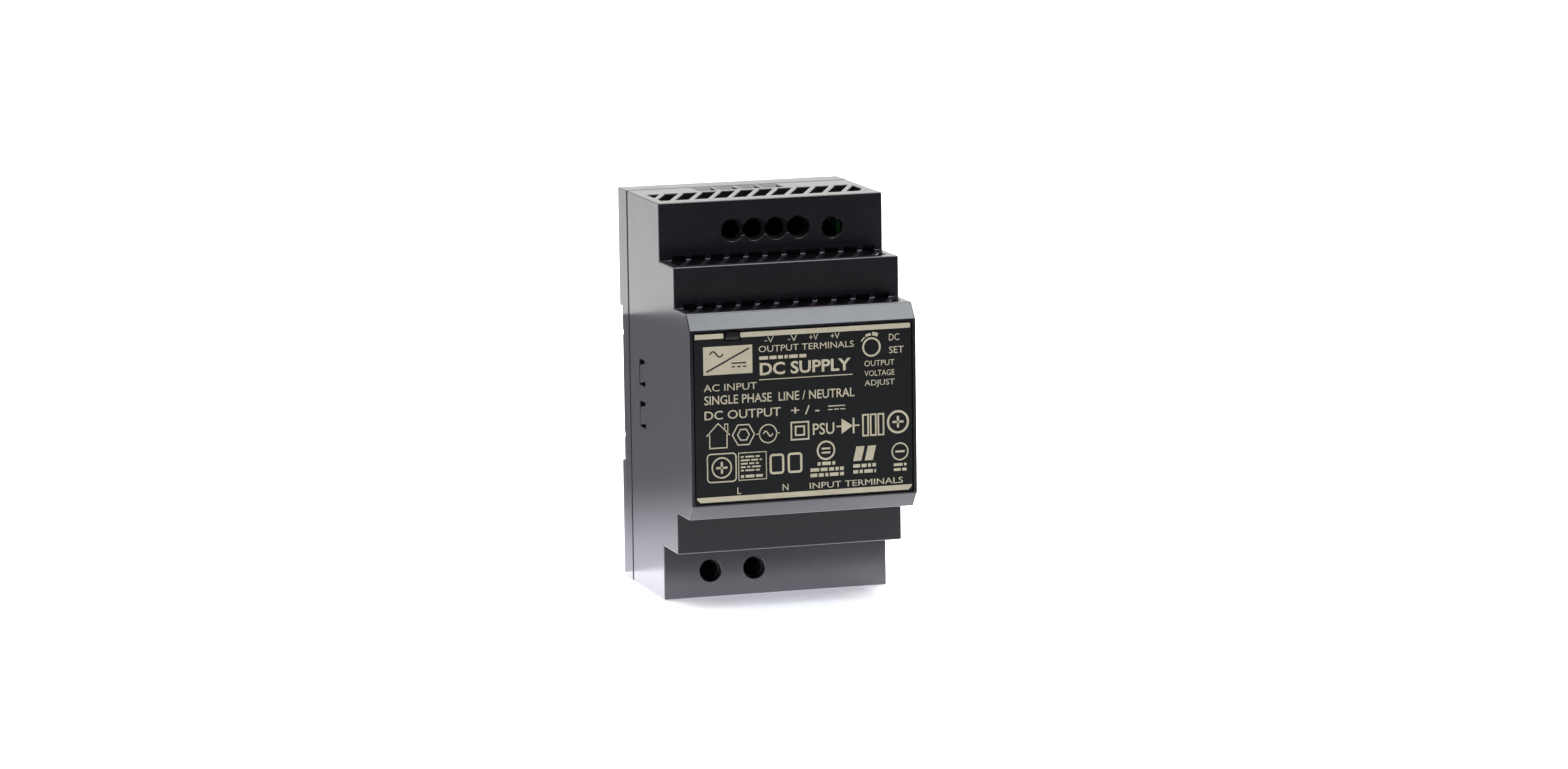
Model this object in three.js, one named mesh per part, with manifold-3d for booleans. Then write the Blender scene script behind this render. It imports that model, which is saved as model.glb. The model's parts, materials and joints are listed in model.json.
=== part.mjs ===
// DIN rail power supply, three modules wide, in a stepped plastic case.
//
// Millimetres. Seen from the front, +X is to the right, the front faces -Y and +Z is up.
// The origin is the centre of the rail seat: at mid-width, on the plane that the front of the
// rail's lips touches, level with the centreline of the 35 mm rail.

import * as THREE from 'three';
import { mergeVertices } from 'three/addons/utils/BufferGeometryUtils.js';
import Module from 'manifold-3d';

const wasm = await Module();
wasm.setup();

// ---------------------------------------------------------------- driving dimensions

const GAP = 0.3; // clearance between pieces that touch
const THROUGH = 1.0; // how far a cutter runs past the face it cuts

const CASE = {
  half: 26.25, // three 17.5 mm modules wide
  wall: 1.5,
  bodyHalf: 45, // half height of the lowest tier, behind the terminals
  middle: -0.35, // height about which the tiers in front of the body are symmetric
  tierHalf: 32.3,
  windowHalf: 23.1, // half height of the front block that stands through a cabinet's cover
  faceHalf: 19.6,
  bodyFront: -31.3,
  tierFront: -42.7,
  chamferBack: -51.7,
  faceFront: -54.5,
  parting: -5.5, // joint between the housing and the rear cover
  groove: 0.9,
  rear: 2.0,
};
const INNER_HALF = CASE.half - CASE.wall;
const HOUSING_BACK = CASE.parting - CASE.groove / 2;
const COVER_FRONT = CASE.parting + CASE.groove / 2;

const VENT = {
  pitch: 4.47,
  width: 3.15,
  middle: 0.45, // left edge of slot number 0, carried back to the rail seat
  numbers: [-4, 10], // first and last slot; their lines run on from tier to tier
  lean: 0.47, // sideways shift towards the front, for each millimetre of depth
  half: 24.2, // half width of the window that holds the slots
  bodyDepths: [-26.9, -14.8],
  tierDepths: [-40, -30.5], // the slots of both steps notch the foot of the wall behind
  windowDepths: [-49.6, -41.9],
};

const TERMINAL = {
  outputLevel: 38.1, // height of the upper row's screw axes
  inputLevel: -38.9,
  outputs: [-9.1, -3.9, 1.3, 6.5],
  inputs: [-15.4, -5.1],
  holeRadius: 2.5,
  neckHalf: 1.2, // half height of the neck that joins the output holes
  entryHalf: 2.2, // half width of a wire entry
  entryDepths: [-13, -8.8],
  entryLeadIn: 2.2,
  blockDepths: [-29.3, -6.7],
  blockReach: [5.8, 4.3], // towards the rail's centreline and away from it, from the screw axes
  cavityHalf: 2.3,
  cavityFront: -16.9,
  cavityReach: [5, 2.9],
  headSeat: -18,
};

const TRIMMER = { x: 14.4, z: 37.6, holeRadius: 2.4, side: 5.2, front: -24.5, back: -18 };
const LENS = { x: -16.3, half: 1.6, low: 16.9, high: 18.8, front: -54.3, back: -43.8 };
const LABEL = { half: 25.2, middle: -0.45, levelHalf: 19, thickness: 0.3, front: -54.3 };

const RAIL = {
  half: 17.5, // half of the 35 mm rail
  lip: 1.0, // thickness of the rail's lips
  channelHalf: 17.9,
  hookDepth: 4.0, // how far the jaws stand behind the seat
  hookReach: 2.8, // how far the jaws reach over the lips
  hookX: 14, // middle of each fixed jaw
  hookHalf: 7,
  padHalf: 11.4, // the seat between the two shallow grooves
  grooveWidth: 1.0,
  grooveDepth: 0.5,
};

const LATCH = {
  half: 8,
  flangeHalf: 9.5,
  floor: -1.0,
  front: -0.7,
  flangeBack: 0.7,
  lipFront: 1.0,
  back: 1.9,
  bottom: -44.6,
  top: -18,
  windowHalf: 3,
  windowLevels: [-36.3, -22],
  postHalf: 2.6,
  postLevels: [-36, -34],
  springRadius: 1.05,
  springWire: 0.45,
  springTurns: 7,
  toolHalf: 2.4, // half width of the slot for a screwdriver's tip
  toolLevels: [-42.6, -40.2],
  gripHalf: 6,
  gripLevels: [-38.9, -37.7],
  gripDepth: 0.4,
};

const TONGUE = { outer: 0.3, thickness: 1.2, front: -6.4, floor: -2.0, levelHalf: 43.2 };
const TONGUE_HALF = INNER_HALF - TONGUE.outer;
const TONGUE_BORE = TONGUE_HALF - TONGUE.thickness;
const TONGUE_BORE_LEVEL = TONGUE.levelHalf - TONGUE.thickness;

const SNAP = {
  levels: [-5, 4.6],
  windowDepths: [-18.1, -13.3],
  windowHalf: 2.95,
  armHalf: 3,
  armFront: -18.6,
  flush: 0.1, // how far the nose stays below the side face
  slope: 0.9, // rise of the nose's edges towards the front
};

const POST = { x: 19.5, z: 38.5, radius: 2, front: -4.5, back: 1 };
const BOARD = { half: 22.5, levelHalf: 41.2, front: -6.4, back: -4.8 };
const SEAT = BOARD.front - GAP; // where the components' feet start
const CONTROL_BOARD = { inner: 17.4, outer: 19, front: -26.5, levels: [22, 41] };
const DEVICE = { seat: 20, screwDepth: -23.2, screwHole: 1.8 }; // the power devices and their heatsinks
const CHOKE_DEPTH = -17; // axis of the choke's round core
const CORNERS = [[-1, -1], [-1, 1], [1, -1], [1, 1]];

// ---------------------------------------------------------------- shapes and solids

/** A closed manifold solid from any closed three.js geometry. */
function solidOf(geometry) {
  const bare = geometry.index ? geometry.toNonIndexed() : geometry.clone();
  bare.deleteAttribute('normal');
  bare.deleteAttribute('uv');
  const merged = mergeVertices(bare, 1e-4);
  const mesh = new wasm.Mesh({
    numProp: 3,
    vertProperties: new Float32Array(merged.attributes.position.array),
    triVerts: new Uint32Array(merged.index.array),
  });
  return new wasm.Manifold(mesh);
}

/** The three.js geometry of a manifold solid. */
function geometryOf(solid) {
  const { vertProperties, triVerts, numProp } = solid.getMesh();
  const positions = new Float32Array((vertProperties.length / numProp) * 3);
  for (let i = 0; i < positions.length / 3; i += 1) {
    positions.set(vertProperties.subarray(i * numProp, i * numProp + 3), i * 3);
  }
  const geometry = new THREE.BufferGeometry();
  geometry.setAttribute('position', new THREE.BufferAttribute(positions, 3));
  geometry.setIndex(new THREE.BufferAttribute(new Uint32Array(triVerts), 1));
  const flat = geometry.toNonIndexed();
  flat.computeVertexNormals();
  return flat;
}

const join = (...solids) => solids.flat().reduce((all, next) => all.add(next));
const cut = (solid, ...cutters) => solid.subtract(join(...cutters));

/** The limits of a span from its middle and its half length. */
const around = (middle, half) => [middle - half, middle + half];

/** The limits of a span from its two ends, lowest first. */
const span = (a, b) => [Math.min(a, b), Math.max(a, b)];

/** A box from the two limits on each axis, given in either order. */
function slab(xs, ys, zs) {
  const limits = [xs, ys, zs].map(([a, b]) => span(a, b));
  const size = limits.map(([low, high]) => high - low);
  const middle = limits.map(([low, high]) => (low + high) / 2);
  return solidOf(new THREE.BoxGeometry(...size).translate(...middle));
}

/** A prism along +Z from its outline of points. */
function prism(outline, length) {
  const shape = new THREE.Shape(outline.map(([u, v]) => new THREE.Vector2(u, v)));
  return new THREE.ExtrudeGeometry(shape, { depth: length, bevelEnabled: false });
}

/** A prism across the width, from its outline of [y, z] points. */
function prismX(outline, [from, to]) {
  const geometry = prism(outline, to - from);
  const turn = new THREE.Matrix4().makeBasis(
    new THREE.Vector3(0, 1, 0),
    new THREE.Vector3(0, 0, 1),
    new THREE.Vector3(1, 0, 0),
  );
  return solidOf(geometry.applyMatrix4(turn).translate(from, 0, 0));
}

/** A prism from front to back, from its outline of [x, z] points. */
function prismY(outline, [from, to]) {
  const geometry = prism(outline, to - from);
  return solidOf(geometry.rotateX(Math.PI / 2).translate(0, to, 0));
}

/** An upright prism, from its outline of [x, y] points. */
const prismZ = (outline, [from, to]) => solidOf(prism(outline, to - from).translate(0, 0, from));

/** A cylinder along Y about (x, z). */
function rodY(x, z, radius, [from, to], segments = 20) {
  const geometry = new THREE.CylinderGeometry(radius, radius, to - from, segments);
  return solidOf(geometry.translate(x, (from + to) / 2, z));
}

/** A cylinder along X about (y, z). */
function rodX(y, z, radius, [from, to], segments = 16) {
  const geometry = new THREE.CylinderGeometry(radius, radius, to - from, segments);
  return solidOf(geometry.rotateZ(Math.PI / 2).translate((from + to) / 2, y, z));
}

/** A cylinder along Z about (x, y). */
function rodZ(x, y, radius, [from, to], segments = 20) {
  const geometry = new THREE.CylinderGeometry(radius, radius, to - from, segments);
  return solidOf(geometry.rotateX(Math.PI / 2).translate(x, y, (from + to) / 2));
}

/** A body turned about Y, from [radius, y] points that start and end on the axis. */
function turned(profile, segments = 20) {
  const points = profile.map(([radius, y]) => new THREE.Vector2(radius, y));
  return solidOf(new THREE.LatheGeometry(points, segments));
}

/** An outline moved inwards by a distance; its points run anticlockwise. */
function inset(outline, distance) {
  const normals = outline.map(([u, v], i) => {
    const [nextU, nextV] = outline[(i + 1) % outline.length];
    return new THREE.Vector2(v - nextV, nextU - u).normalize();
  });
  return outline.map(([u, v], i) => {
    const before = normals[(i + normals.length - 1) % normals.length];
    const after = normals[i];
    const reach = distance / (1 + before.dot(after));
    return [u + (before.x + after.x) * reach, v + (before.y + after.y) * reach];
  });
}

/** Square solder leads from a component down to the board. */
function leads(places, from, half = 0.3) {
  return places.map(([x, z]) => slab(around(x, half), [from, SEAT], around(z, half)));
}

const root = new THREE.Group();

/** Adds one named sub-part to the object. */
function add(name, solid, { color, roughness, metalness = 0 }, place = {}) {
  const material = new THREE.MeshStandardMaterial({ color, roughness, metalness });
  const mesh = new THREE.Mesh(geometryOf(solid), material);
  mesh.name = name;
  mesh.position.set(place.x ?? 0, place.y ?? 0, place.z ?? 0);
  mesh.rotation.y = place.turn ?? 0;
  root.add(mesh);
}

const LOOKS = {
  casePlastic: { color: 0x3a3c45, roughness: 0.45 },
  latchPlastic: { color: 0x2b2c31, roughness: 0.5 },
  labelFilm: { color: 0x1b1c20, roughness: 0.4 },
  lens: { color: 0x3a3033, roughness: 0.2 },
  terminalPlastic: { color: 0x1d1f22, roughness: 0.5 },
  platedSteel: { color: 0xb9babc, roughness: 0.35, metalness: 1 },
  springSteel: { color: 0x9a9b9e, roughness: 0.3, metalness: 1 },
  brass: { color: 0xc9b27a, roughness: 0.3, metalness: 1 },
  board: { color: 0x2f6b3c, roughness: 0.55 },
  film: { color: 0xe3dfc8, roughness: 0.6 },
  ferrite: { color: 0x2d2d2f, roughness: 0.6 },
  bobbin: { color: 0x1f1f22, roughness: 0.5 },
  tape: { color: 0xd9c24a, roughness: 0.4 },
  sleeve: { color: 0x23252b, roughness: 0.4 },
  copper: { color: 0xb5613a, roughness: 0.35, metalness: 1 },
  yellowBox: { color: 0xd8b637, roughness: 0.5 },
  blueDisc: { color: 0x2a5f9e, roughness: 0.5 },
  greenDisc: { color: 0x39704a, roughness: 0.5 },
  greyEpoxy: { color: 0x2a2a2c, roughness: 0.55 },
  aluminium: { color: 0xb4b6b8, roughness: 0.4, metalness: 1 },
  nylon: { color: 0xe6e4dc, roughness: 0.5 },
  greenLens: { color: 0x8fd08a, roughness: 0.2 },
  bluePlastic: { color: 0x1f3354, roughness: 0.45 },
  greyPlastic: { color: 0x55575c, roughness: 0.45 },
  whitePlastic: { color: 0xe9e7df, roughness: 0.45 },
};

// ---------------------------------------------------------------- case

/** Height of a tier's upper or lower face, in front of the body. */
const tierLevel = (end, half) => CASE.middle + end * half;

/** Upper or lower half of the case's side outline, as [y, z] points, from the given back plane. */
function halfOutline(back, end) {
  return [
    [back, end * CASE.bodyHalf],
    [CASE.bodyFront, end * CASE.bodyHalf],
    [CASE.bodyFront, tierLevel(end, CASE.tierHalf)],
    [CASE.tierFront, tierLevel(end, CASE.tierHalf)],
    [CASE.tierFront, tierLevel(end, CASE.windowHalf)],
    [CASE.chamferBack, tierLevel(end, CASE.windowHalf)],
    [CASE.faceFront, tierLevel(end, CASE.faceHalf)],
  ];
}

const caseOutline = (back) => [...halfOutline(back, 1), ...halfOutline(back, -1).reverse()];

/** A row of slanted slots through a level wall. */
function ventSlots([front, back], levels) {
  const [first, last] = VENT.numbers;
  const slots = [];
  for (let n = first; n <= last; n += 1) {
    const xAt = (y) => VENT.middle + n * VENT.pitch + VENT.lean * y;
    const outline = [
      [xAt(back), back],
      [xAt(front), front],
      [xAt(front) + VENT.width, front],
      [xAt(back) + VENT.width, back],
    ];
    slots.push(prismZ(outline, levels));
  }
  return join(slots).intersect(slab([-VENT.half, VENT.half], [front, back], levels));
}

/** The vents of one end of the case: through the end wall and both step walls. */
function endVents(end) {
  const wallAt = (level) => span(level + end * THROUGH, level - end * (CASE.wall + THROUGH / 2));
  return [
    ventSlots(VENT.bodyDepths, wallAt(end * CASE.bodyHalf)),
    ventSlots(VENT.tierDepths, wallAt(tierLevel(end, CASE.tierHalf))),
    ventSlots(VENT.windowDepths, wallAt(tierLevel(end, CASE.windowHalf))),
  ];
}

/** A wire entry through an end wall, with a sloped lead-in on its rear side. */
function wireEntry(x, end) {
  const [front, back] = TERMINAL.entryDepths;
  const inside = CASE.bodyHalf - CASE.wall;
  const slope = TERMINAL.entryLeadIn / CASE.wall;
  const outline = [
    [front, inside - THROUGH],
    [back - slope * THROUGH, inside - THROUGH],
    [back + slope * (CASE.wall + THROUGH), CASE.bodyHalf + THROUGH],
    [front, CASE.bodyHalf + THROUGH],
  ];
  return prismX(outline.map(([y, z]) => [y, end * z]), around(x, TERMINAL.entryHalf));
}

/** The holes in the front of the two lowest tiers, over the screws and the trimmer. */
function frontHoles() {
  const depths = around(CASE.bodyFront, CASE.wall + THROUGH);
  const { outputs, inputs, outputLevel, inputLevel, holeRadius, neckHalf } = TERMINAL;
  return [
    ...outputs.map((x) => rodY(x, outputLevel, holeRadius, depths)),
    slab([outputs[0], outputs.at(-1)], depths, around(outputLevel, neckHalf)),
    ...inputs.map((x) => rodY(x, inputLevel, holeRadius, depths)),
    rodY(TRIMMER.x, TRIMMER.z, TRIMMER.holeRadius, depths),
  ];
}

/** The windows in both side walls that the rear cover's noses snap into. */
function snapWindows() {
  return SNAP.levels.map((z) =>
    slab([-CASE.half - THROUGH, CASE.half + THROUGH], SNAP.windowDepths, around(z, SNAP.windowHalf)));
}

/** Outline of the lens of the indicator, with its arched top edge, grown by a margin. */
function lensOutline(margin) {
  const half = LENS.half + margin;
  const shoulder = LENS.high - 0.5 + margin;
  const points = [];
  for (let step = 0; step <= 6; step += 1) {
    const angle = (Math.PI * step) / 6;
    points.push([LENS.x + half * Math.cos(angle), shoulder + 0.5 * Math.sin(angle)]);
  }
  return [...points, [LENS.x - half, LENS.low - margin], [LENS.x + half, LENS.low - margin]];
}

function frontHousing() {
  const outside = prismX(caseOutline(HOUSING_BACK), [-CASE.half, CASE.half]);
  const inside = prismX(
    inset(caseOutline(HOUSING_BACK + CASE.wall + THROUGH), CASE.wall),
    [-INNER_HALF, INNER_HALF],
  );
  const labelFloor = LABEL.front + LABEL.thickness + GAP;
  const labelRecess = slab(
    around(0, LABEL.half + GAP),
    [CASE.faceFront - THROUGH, labelFloor],
    around(LABEL.middle, LABEL.levelHalf + GAP),
  );
  const lensDepths = [CASE.faceFront - THROUGH, CASE.chamferBack + CASE.wall];
  const lensHole = prismY(lensOutline(GAP), lensDepths);
  const entries = [
    ...TERMINAL.outputs.map((x) => wireEntry(x, 1)),
    ...TERMINAL.inputs.map((x) => wireEntry(x, -1)),
  ];
  const openings = [lensHole, ...entries, ...frontHoles(), ...snapWindows()];
  return cut(outside, inside, labelRecess, openings, endVents(1), endVents(-1));
}

function ratingLabel() {
  const depths = [LABEL.front, LABEL.front + LABEL.thickness];
  const film = slab(around(0, LABEL.half), depths, around(LABEL.middle, LABEL.levelHalf));
  return cut(film, prismY(lensOutline(GAP), [LABEL.front - THROUGH, LABEL.front + THROUGH]));
}

function lightPipe() {
  const head = prismY(lensOutline(0), [LENS.front, LENS.front + 2]);
  return join(head, rodY(LENS.x, (LENS.low + LENS.high) / 2, 0.9, [LENS.front + 1, LENS.back], 16));
}

// ---------------------------------------------------------------- rear cover and rail latch

/** Outline of a fixed jaw that hooks over the rail's upper lip, as [y, z] points. */
function jawOutline() {
  const lipClear = RAIL.lip + 0.2;
  const tip = RAIL.half - RAIL.hookReach;
  return [
    [lipClear, tip],
    [lipClear + 1.2, tip],
    [RAIL.hookDepth, tip + 1.3],
    [RAIL.hookDepth, RAIL.channelHalf + 1.6],
    [CASE.rear, RAIL.channelHalf + 3.6],
    [0.8, RAIL.channelHalf + 3.6],
    [0.8, RAIL.channelHalf],
    [lipClear, RAIL.channelHalf],
  ];
}

/** A flexible arm of the cover, whose nose snaps into a side window. */
function snapArm(side, z) {
  const arm = slab(
    [side * TONGUE_BORE, side * TONGUE_HALF],
    [SNAP.armFront, TONGUE.front + THROUGH],
    around(z, SNAP.armHalf),
  );
  const front = SNAP.windowDepths[0] + GAP;
  const back = SNAP.windowDepths[1] - GAP;
  const low = z - SNAP.windowHalf + GAP;
  const high = z + SNAP.windowHalf - GAP - SNAP.slope - 0.2;
  const outline = [[back, low], [back, high], [front, high + SNAP.slope], [front, low + SNAP.slope]];
  return join(arm, prismX(outline, span(side * (TONGUE_HALF - 0.2), side * (CASE.half - SNAP.flush))));
}

/** The cutters that open the cover towards the inside. */
function coverHollow() {
  const across = [-TONGUE_BORE, TONGUE_BORE];
  const deep = CASE.rear - CASE.wall;
  const shoulder = RAIL.channelHalf + CASE.wall;
  const beside = LATCH.flangeHalf + CASE.wall;
  const main = slab(across, [TONGUE.front - THROUGH, TONGUE.floor], around(0, TONGUE_BORE_LEVEL));
  const depths = [TONGUE.floor - THROUGH, deep];
  return [
    main,
    slab(across, depths, [shoulder, TONGUE_BORE_LEVEL]),
    slab([-TONGUE_BORE, -beside], depths, [-TONGUE_BORE_LEVEL, -shoulder]),
    slab([beside, TONGUE_BORE], depths, [-TONGUE_BORE_LEVEL, -shoulder]),
  ];
}

/** The cutters on the cover's rear side: rail channel, its two grooves and the latch's guideway. */
function coverRearCuts() {
  const across = [-CASE.half - THROUGH, CASE.half + THROUGH];
  const behind = CASE.rear + THROUGH;
  const grooveDepths = [-RAIL.grooveDepth, behind];
  const grooveLevels = [RAIL.padHalf, RAIL.padHalf + RAIL.grooveWidth];
  const grooves = [-1, 1].map((end) => slab(across, grooveDepths, grooveLevels.map((z) => end * z)));
  const guideLevels = [-CASE.bodyHalf - THROUGH, -RAIL.channelHalf];
  return [
    slab(across, [0, behind], [-RAIL.channelHalf, RAIL.channelHalf]),
    ...grooves,
    slab(around(0, LATCH.half + GAP), [LATCH.floor, behind], guideLevels),
    slab(around(0, LATCH.flangeHalf + GAP), [LATCH.floor, LATCH.lipFront], guideLevels),
  ];
}

function rearCover() {
  const plate = slab(around(0, CASE.half), [COVER_FRONT, CASE.rear], around(0, CASE.bodyHalf));
  const tongueDepths = [TONGUE.front, COVER_FRONT + THROUGH];
  const tongue = slab(around(0, TONGUE_HALF), tongueDepths, around(0, TONGUE.levelHalf));
  const shell = cut(join(plate, tongue), coverHollow(), coverRearCuts());
  const jaws = [-1, 1].map((side) => prismX(jawOutline(), around(side * RAIL.hookX, RAIL.hookHalf)));
  const arms = SNAP.levels.flatMap((z) => [snapArm(-1, z), snapArm(1, z)]);
  const depths = [POST.front, POST.back];
  const posts = CORNERS.map(([a, b]) => rodY(a * POST.x, b * POST.z, POST.radius, depths, 16));
  const springPost = slab(
    around(0, LATCH.postHalf),
    [LATCH.floor - 0.5, LATCH.back - 0.2],
    LATCH.postLevels,
  );
  return join(shell, jaws, arms, posts, springPost);
}

function railLatch() {
  const tip = -RAIL.half + RAIL.hookReach - 0.3;
  const lipClear = RAIL.lip + 0.2;
  const outline = [
    [LATCH.front, LATCH.bottom],
    [LATCH.back, LATCH.bottom],
    [LATCH.back, LATCH.windowLevels[1] + 1],
    [RAIL.hookDepth, LATCH.top - 1.5],
    [RAIL.hookDepth, tip - 1.3],
    [lipClear + 1.2, tip],
    [lipClear, tip],
    [lipClear, LATCH.top],
    [LATCH.front, LATCH.top],
  ];
  const slider = prismX(outline, [-LATCH.half, LATCH.half]);
  const flanges = slab(
    around(0, LATCH.flangeHalf),
    [LATCH.front, LATCH.flangeBack],
    [LATCH.bottom, LATCH.top],
  );
  const depths = [LATCH.front - THROUGH, LATCH.back + THROUGH];
  const springWindow = slab(around(0, LATCH.windowHalf), depths, LATCH.windowLevels);
  const toolSlot = slab(around(0, LATCH.toolHalf), depths, LATCH.toolLevels);
  const gripDepths = [LATCH.back - LATCH.gripDepth, LATCH.back + THROUGH];
  const grips = LATCH.gripLevels.map((z) =>
    slab(around(0, LATCH.gripHalf), gripDepths, around(z, 0.35)));
  return cut(join(slider, flanges), springWindow, toolSlot, grips);
}

function latchSpring() {
  const radius = LATCH.springRadius;
  const wire = LATCH.springWire / 2;
  const low = LATCH.postLevels[1] + 0.15 + wire;
  const high = LATCH.windowLevels[1] - 0.15 - wire;
  const middle = (LATCH.front + LATCH.back) / 2 - 0.1;
  const points = [];
  const steps = LATCH.springTurns * 10;
  for (let step = 0; step <= steps; step += 1) {
    const angle = (step / 10) * 2 * Math.PI;
    const z = low + ((high - low) * step) / steps;
    points.push(new THREE.Vector3(radius * Math.cos(angle), middle + radius * Math.sin(angle), z));
  }
  const section = new THREE.Shape();
  section.absarc(0, 0, wire, 0, 2 * Math.PI);
  const path = new THREE.CatmullRomCurve3(points);
  const settings = { steps, curveSegments: 3, extrudePath: path, bevelEnabled: false };
  return solidOf(new THREE.ExtrudeGeometry(section, settings));
}

function insulationSheet() {
  const sheet = slab([-22.6, 22.6], [-2.7, -2.4], [-41.4, 41.4]);
  const holes = CORNERS.map(([a, b]) => rodY(a * POST.x, b * POST.z, POST.radius + GAP, [-4, -1], 16));
  return cut(sheet, holes);
}

// ---------------------------------------------------------------- screw terminals

/** The moulded block that holds a row of clamps; its back is open towards the board. */
function terminalBlock({ places, limits, level }) {
  const end = Math.sign(level);
  const levels = ([inwards, outwards]) => [level - end * inwards, level + end * outwards];
  const block = slab(limits, TERMINAL.blockDepths, levels(TERMINAL.blockReach));
  const cavityDepths = [TERMINAL.cavityFront, SEAT + THROUGH];
  const headDepths = [TERMINAL.blockDepths[0] - THROUGH, TERMINAL.headSeat];
  const shankDepths = [TERMINAL.headSeat - THROUGH, TERMINAL.cavityFront + THROUGH];
  const entryLevels = levels([-2, TERMINAL.blockReach[1] + THROUGH]);
  const cutters = places.flatMap((x) => [
    slab(around(x, TERMINAL.cavityHalf), cavityDepths, levels(TERMINAL.cavityReach)),
    slab(around(x, TERMINAL.entryHalf), TERMINAL.entryDepths, entryLevels),
    rodY(x, level, 2.2, headDepths, 16),
    rodY(x, level, 1.6, shankDepths, 16),
  ]);
  return cut(block, cutters);
}

/** A terminal screw about its own axis, with a combined slot and cross in its head. */
function terminalScrew() {
  const seat = TERMINAL.headSeat - GAP;
  const top = seat - 1.7;
  const head = [[0, top], [1.5, top], [1.9, top + 0.4], [1.9, seat]];
  const shank = [[1.25, seat], [1.25, -13.1], [0.9, -12.7], [0, -12.7]];
  const body = turned([...head, ...shank], 16);
  const depths = [top - THROUGH, top + 0.9];
  return cut(body, slab([-2, 2], depths, [-0.3, 0.3]), slab([-0.3, 0.3], depths, [-1.2, 1.2]));
}

/** The square cage that a screw draws towards its head, about the screw's axis. */
function terminalClamp() {
  const ring = slab([-2, 2], [-14, -8], [-2.5, 2.5]);
  const opening = slab([-1.4, 1.4], [-12.8, -8.8], [-3, 3]);
  return cut(ring, opening, rodY(0, 0, 1.55, [-15, -12], 16));
}

/** The fixed contact that runs through a clamp, with its foot on the board. */
function terminalContact() {
  const bar = slab([-1.1, 1.1], [-12.4, -11.6], [-4.6, 3]);
  return join(bar, slab([-0.6, 0.6], [-12, SEAT], [-4.6, -3.8]));
}

// ---------------------------------------------------------------- electronics

const mainBoard = () =>
  slab(around(0, BOARD.half), [BOARD.front, BOARD.back], around(0, BOARD.levelHalf));

function controlBoard() {
  const { inner, outer, front, levels } = CONTROL_BOARD;
  return slab([inner, outer], [front, SEAT], levels);
}

/** Joined E cores about the origin: three legs between two yokes. */
function transformerCore() {
  const core = slab([-14, 14], [-33, -9], [-5, 5]);
  const windows = [-1, 1].map((side) => slab([side * 3.5, side * 10.5], [-29.5, -12.5], [-6, 6]));
  return cut(core, windows);
}

function transformerBobbin() {
  const flanges = [[-29.2, -28.2], [-13.8, -12.8]].map((ys) => slab([-10.2, 10.2], ys, [-11, 11]));
  const tube = slab([-4.5, 4.5], [-29.2, -12.8], [-6, 6]);
  const feet = [-1, 1].map((end) => slab([-10.2, 10.2], [-12.9, SEAT], [end * 8.6, end * 11]));
  return cut(join(flanges, tube, feet), slab([-3.8, 3.8], [-30, -12], [-5.3, 5.3]));
}

function transformerWinding() {
  const corner = 1.6;
  const outline = [
    [9.9, 10.6 - corner], [9.9 - corner, 10.6], [-9.9 + corner, 10.6], [-9.9, 10.6 - corner],
    [-9.9, -10.6 + corner], [-9.9 + corner, -10.6], [9.9 - corner, -10.6], [9.9, -10.6 + corner],
  ];
  return cut(prismY(outline, [-27.9, -14.1]), slab([-4.8, 4.8], [-29, -13], [-6.3, 6.3]));
}

/** A can capacitor standing on the board, about its own axis. */
function canCapacitor(radius, height) {
  const foot = SEAT - 0.6;
  const top = SEAT - height;
  const rim = [[0, top + 0.4], [radius - 1, top + 0.4], [radius - 0.8, top], [radius - 0.2, top]];
  const side = [[radius, top + 0.5], [radius, foot - 2.6], [radius - 0.4, foot - 2.1]];
  const base = [[radius, foot - 1.6], [radius, foot], [0, foot]];
  const can = turned([...rim, ...side, ...base], 24);
  return join(can, leads([[-radius / 2.4, 0], [radius / 2.4, 0]], foot - THROUGH));
}

/** A round disc component, on edge, with two leads down to the board. */
function discComponent(radius, thickness) {
  const middle = SEAT - 1.6 - radius;
  const disc = rodZ(0, middle, radius, around(0, thickness / 2));
  return join(disc, leads([[-radius / 2, 0], [radius / 2, 0]], middle));
}

const boxCapacitor = () =>
  join(slab([-7.5, 7.5], [-19.2, SEAT - 0.5], [-3, 3]), leads([[-6, 0], [6, 0]], -8, 0.35));

const fuse = () => join(rodY(0, 0, 4.1, [-15.4, -8], 24), leads([[-2, 0], [2, 0]], -9));

/** Toroidal core of the common-mode choke, on edge. */
function chokeCore() {
  return cut(rodZ(0, CHOKE_DEPTH, 7.6, [-3, 3], 28), rodZ(0, CHOKE_DEPTH, 4.2, [-4, 4], 28));
}

/** One winding of the choke, wrapped round the side of the core. */
function chokeWinding(side) {
  const middle = CHOKE_DEPTH;
  const wrapped = cut(rodZ(0, middle, 9, [-4.2, 4.2], 28), rodZ(0, middle, 2.8, [-5, 5], 28));
  const core = cut(rodZ(0, middle, 7.9, [-3.3, 3.3], 28), rodZ(0, middle, 3.9, [-4, 4], 28));
  const wedge = [[0.6 * side, middle], [11 * side, middle - 10], [11 * side, middle + 10]];
  const sector = prismZ(wedge, [-6, 6]);
  const coil = cut(wrapped, core).intersect(sector);
  return join(coil, leads([[side * 6.3, 3.8], [side * 6.3, -3.8]], middle + 4.5));
}

/** An upright power device, its tab towards +X. */
function powerDevice() {
  const body = slab([-4.4, 0], [-20, -10.6], [-5, 5]);
  const tab = slab([-1.3, 0], [-26.2, -10.6], [-5, 5]);
  const pins = [-2.54, 0, 2.54].map((z) => slab([-2.6, -2], [-11, SEAT], around(z, 0.4)));
  return cut(join(body, tab, pins), rodX(DEVICE.screwDepth, 0, DEVICE.screwHole, [-3, 1]));
}

/** A heatsink plate on edge, with folded feet and the hole for the device's screw. */
function heatsink(length) {
  const plate = slab([0.3, 1.9], [-34, SEAT], around(0, length / 2));
  const rim = slab([-1.2, 1.9], [-34, -32.4], around(0, length / 2));
  return cut(join(plate, rim), rodX(DEVICE.screwDepth, 0, DEVICE.screwHole, [-1, 3]));
}

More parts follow.
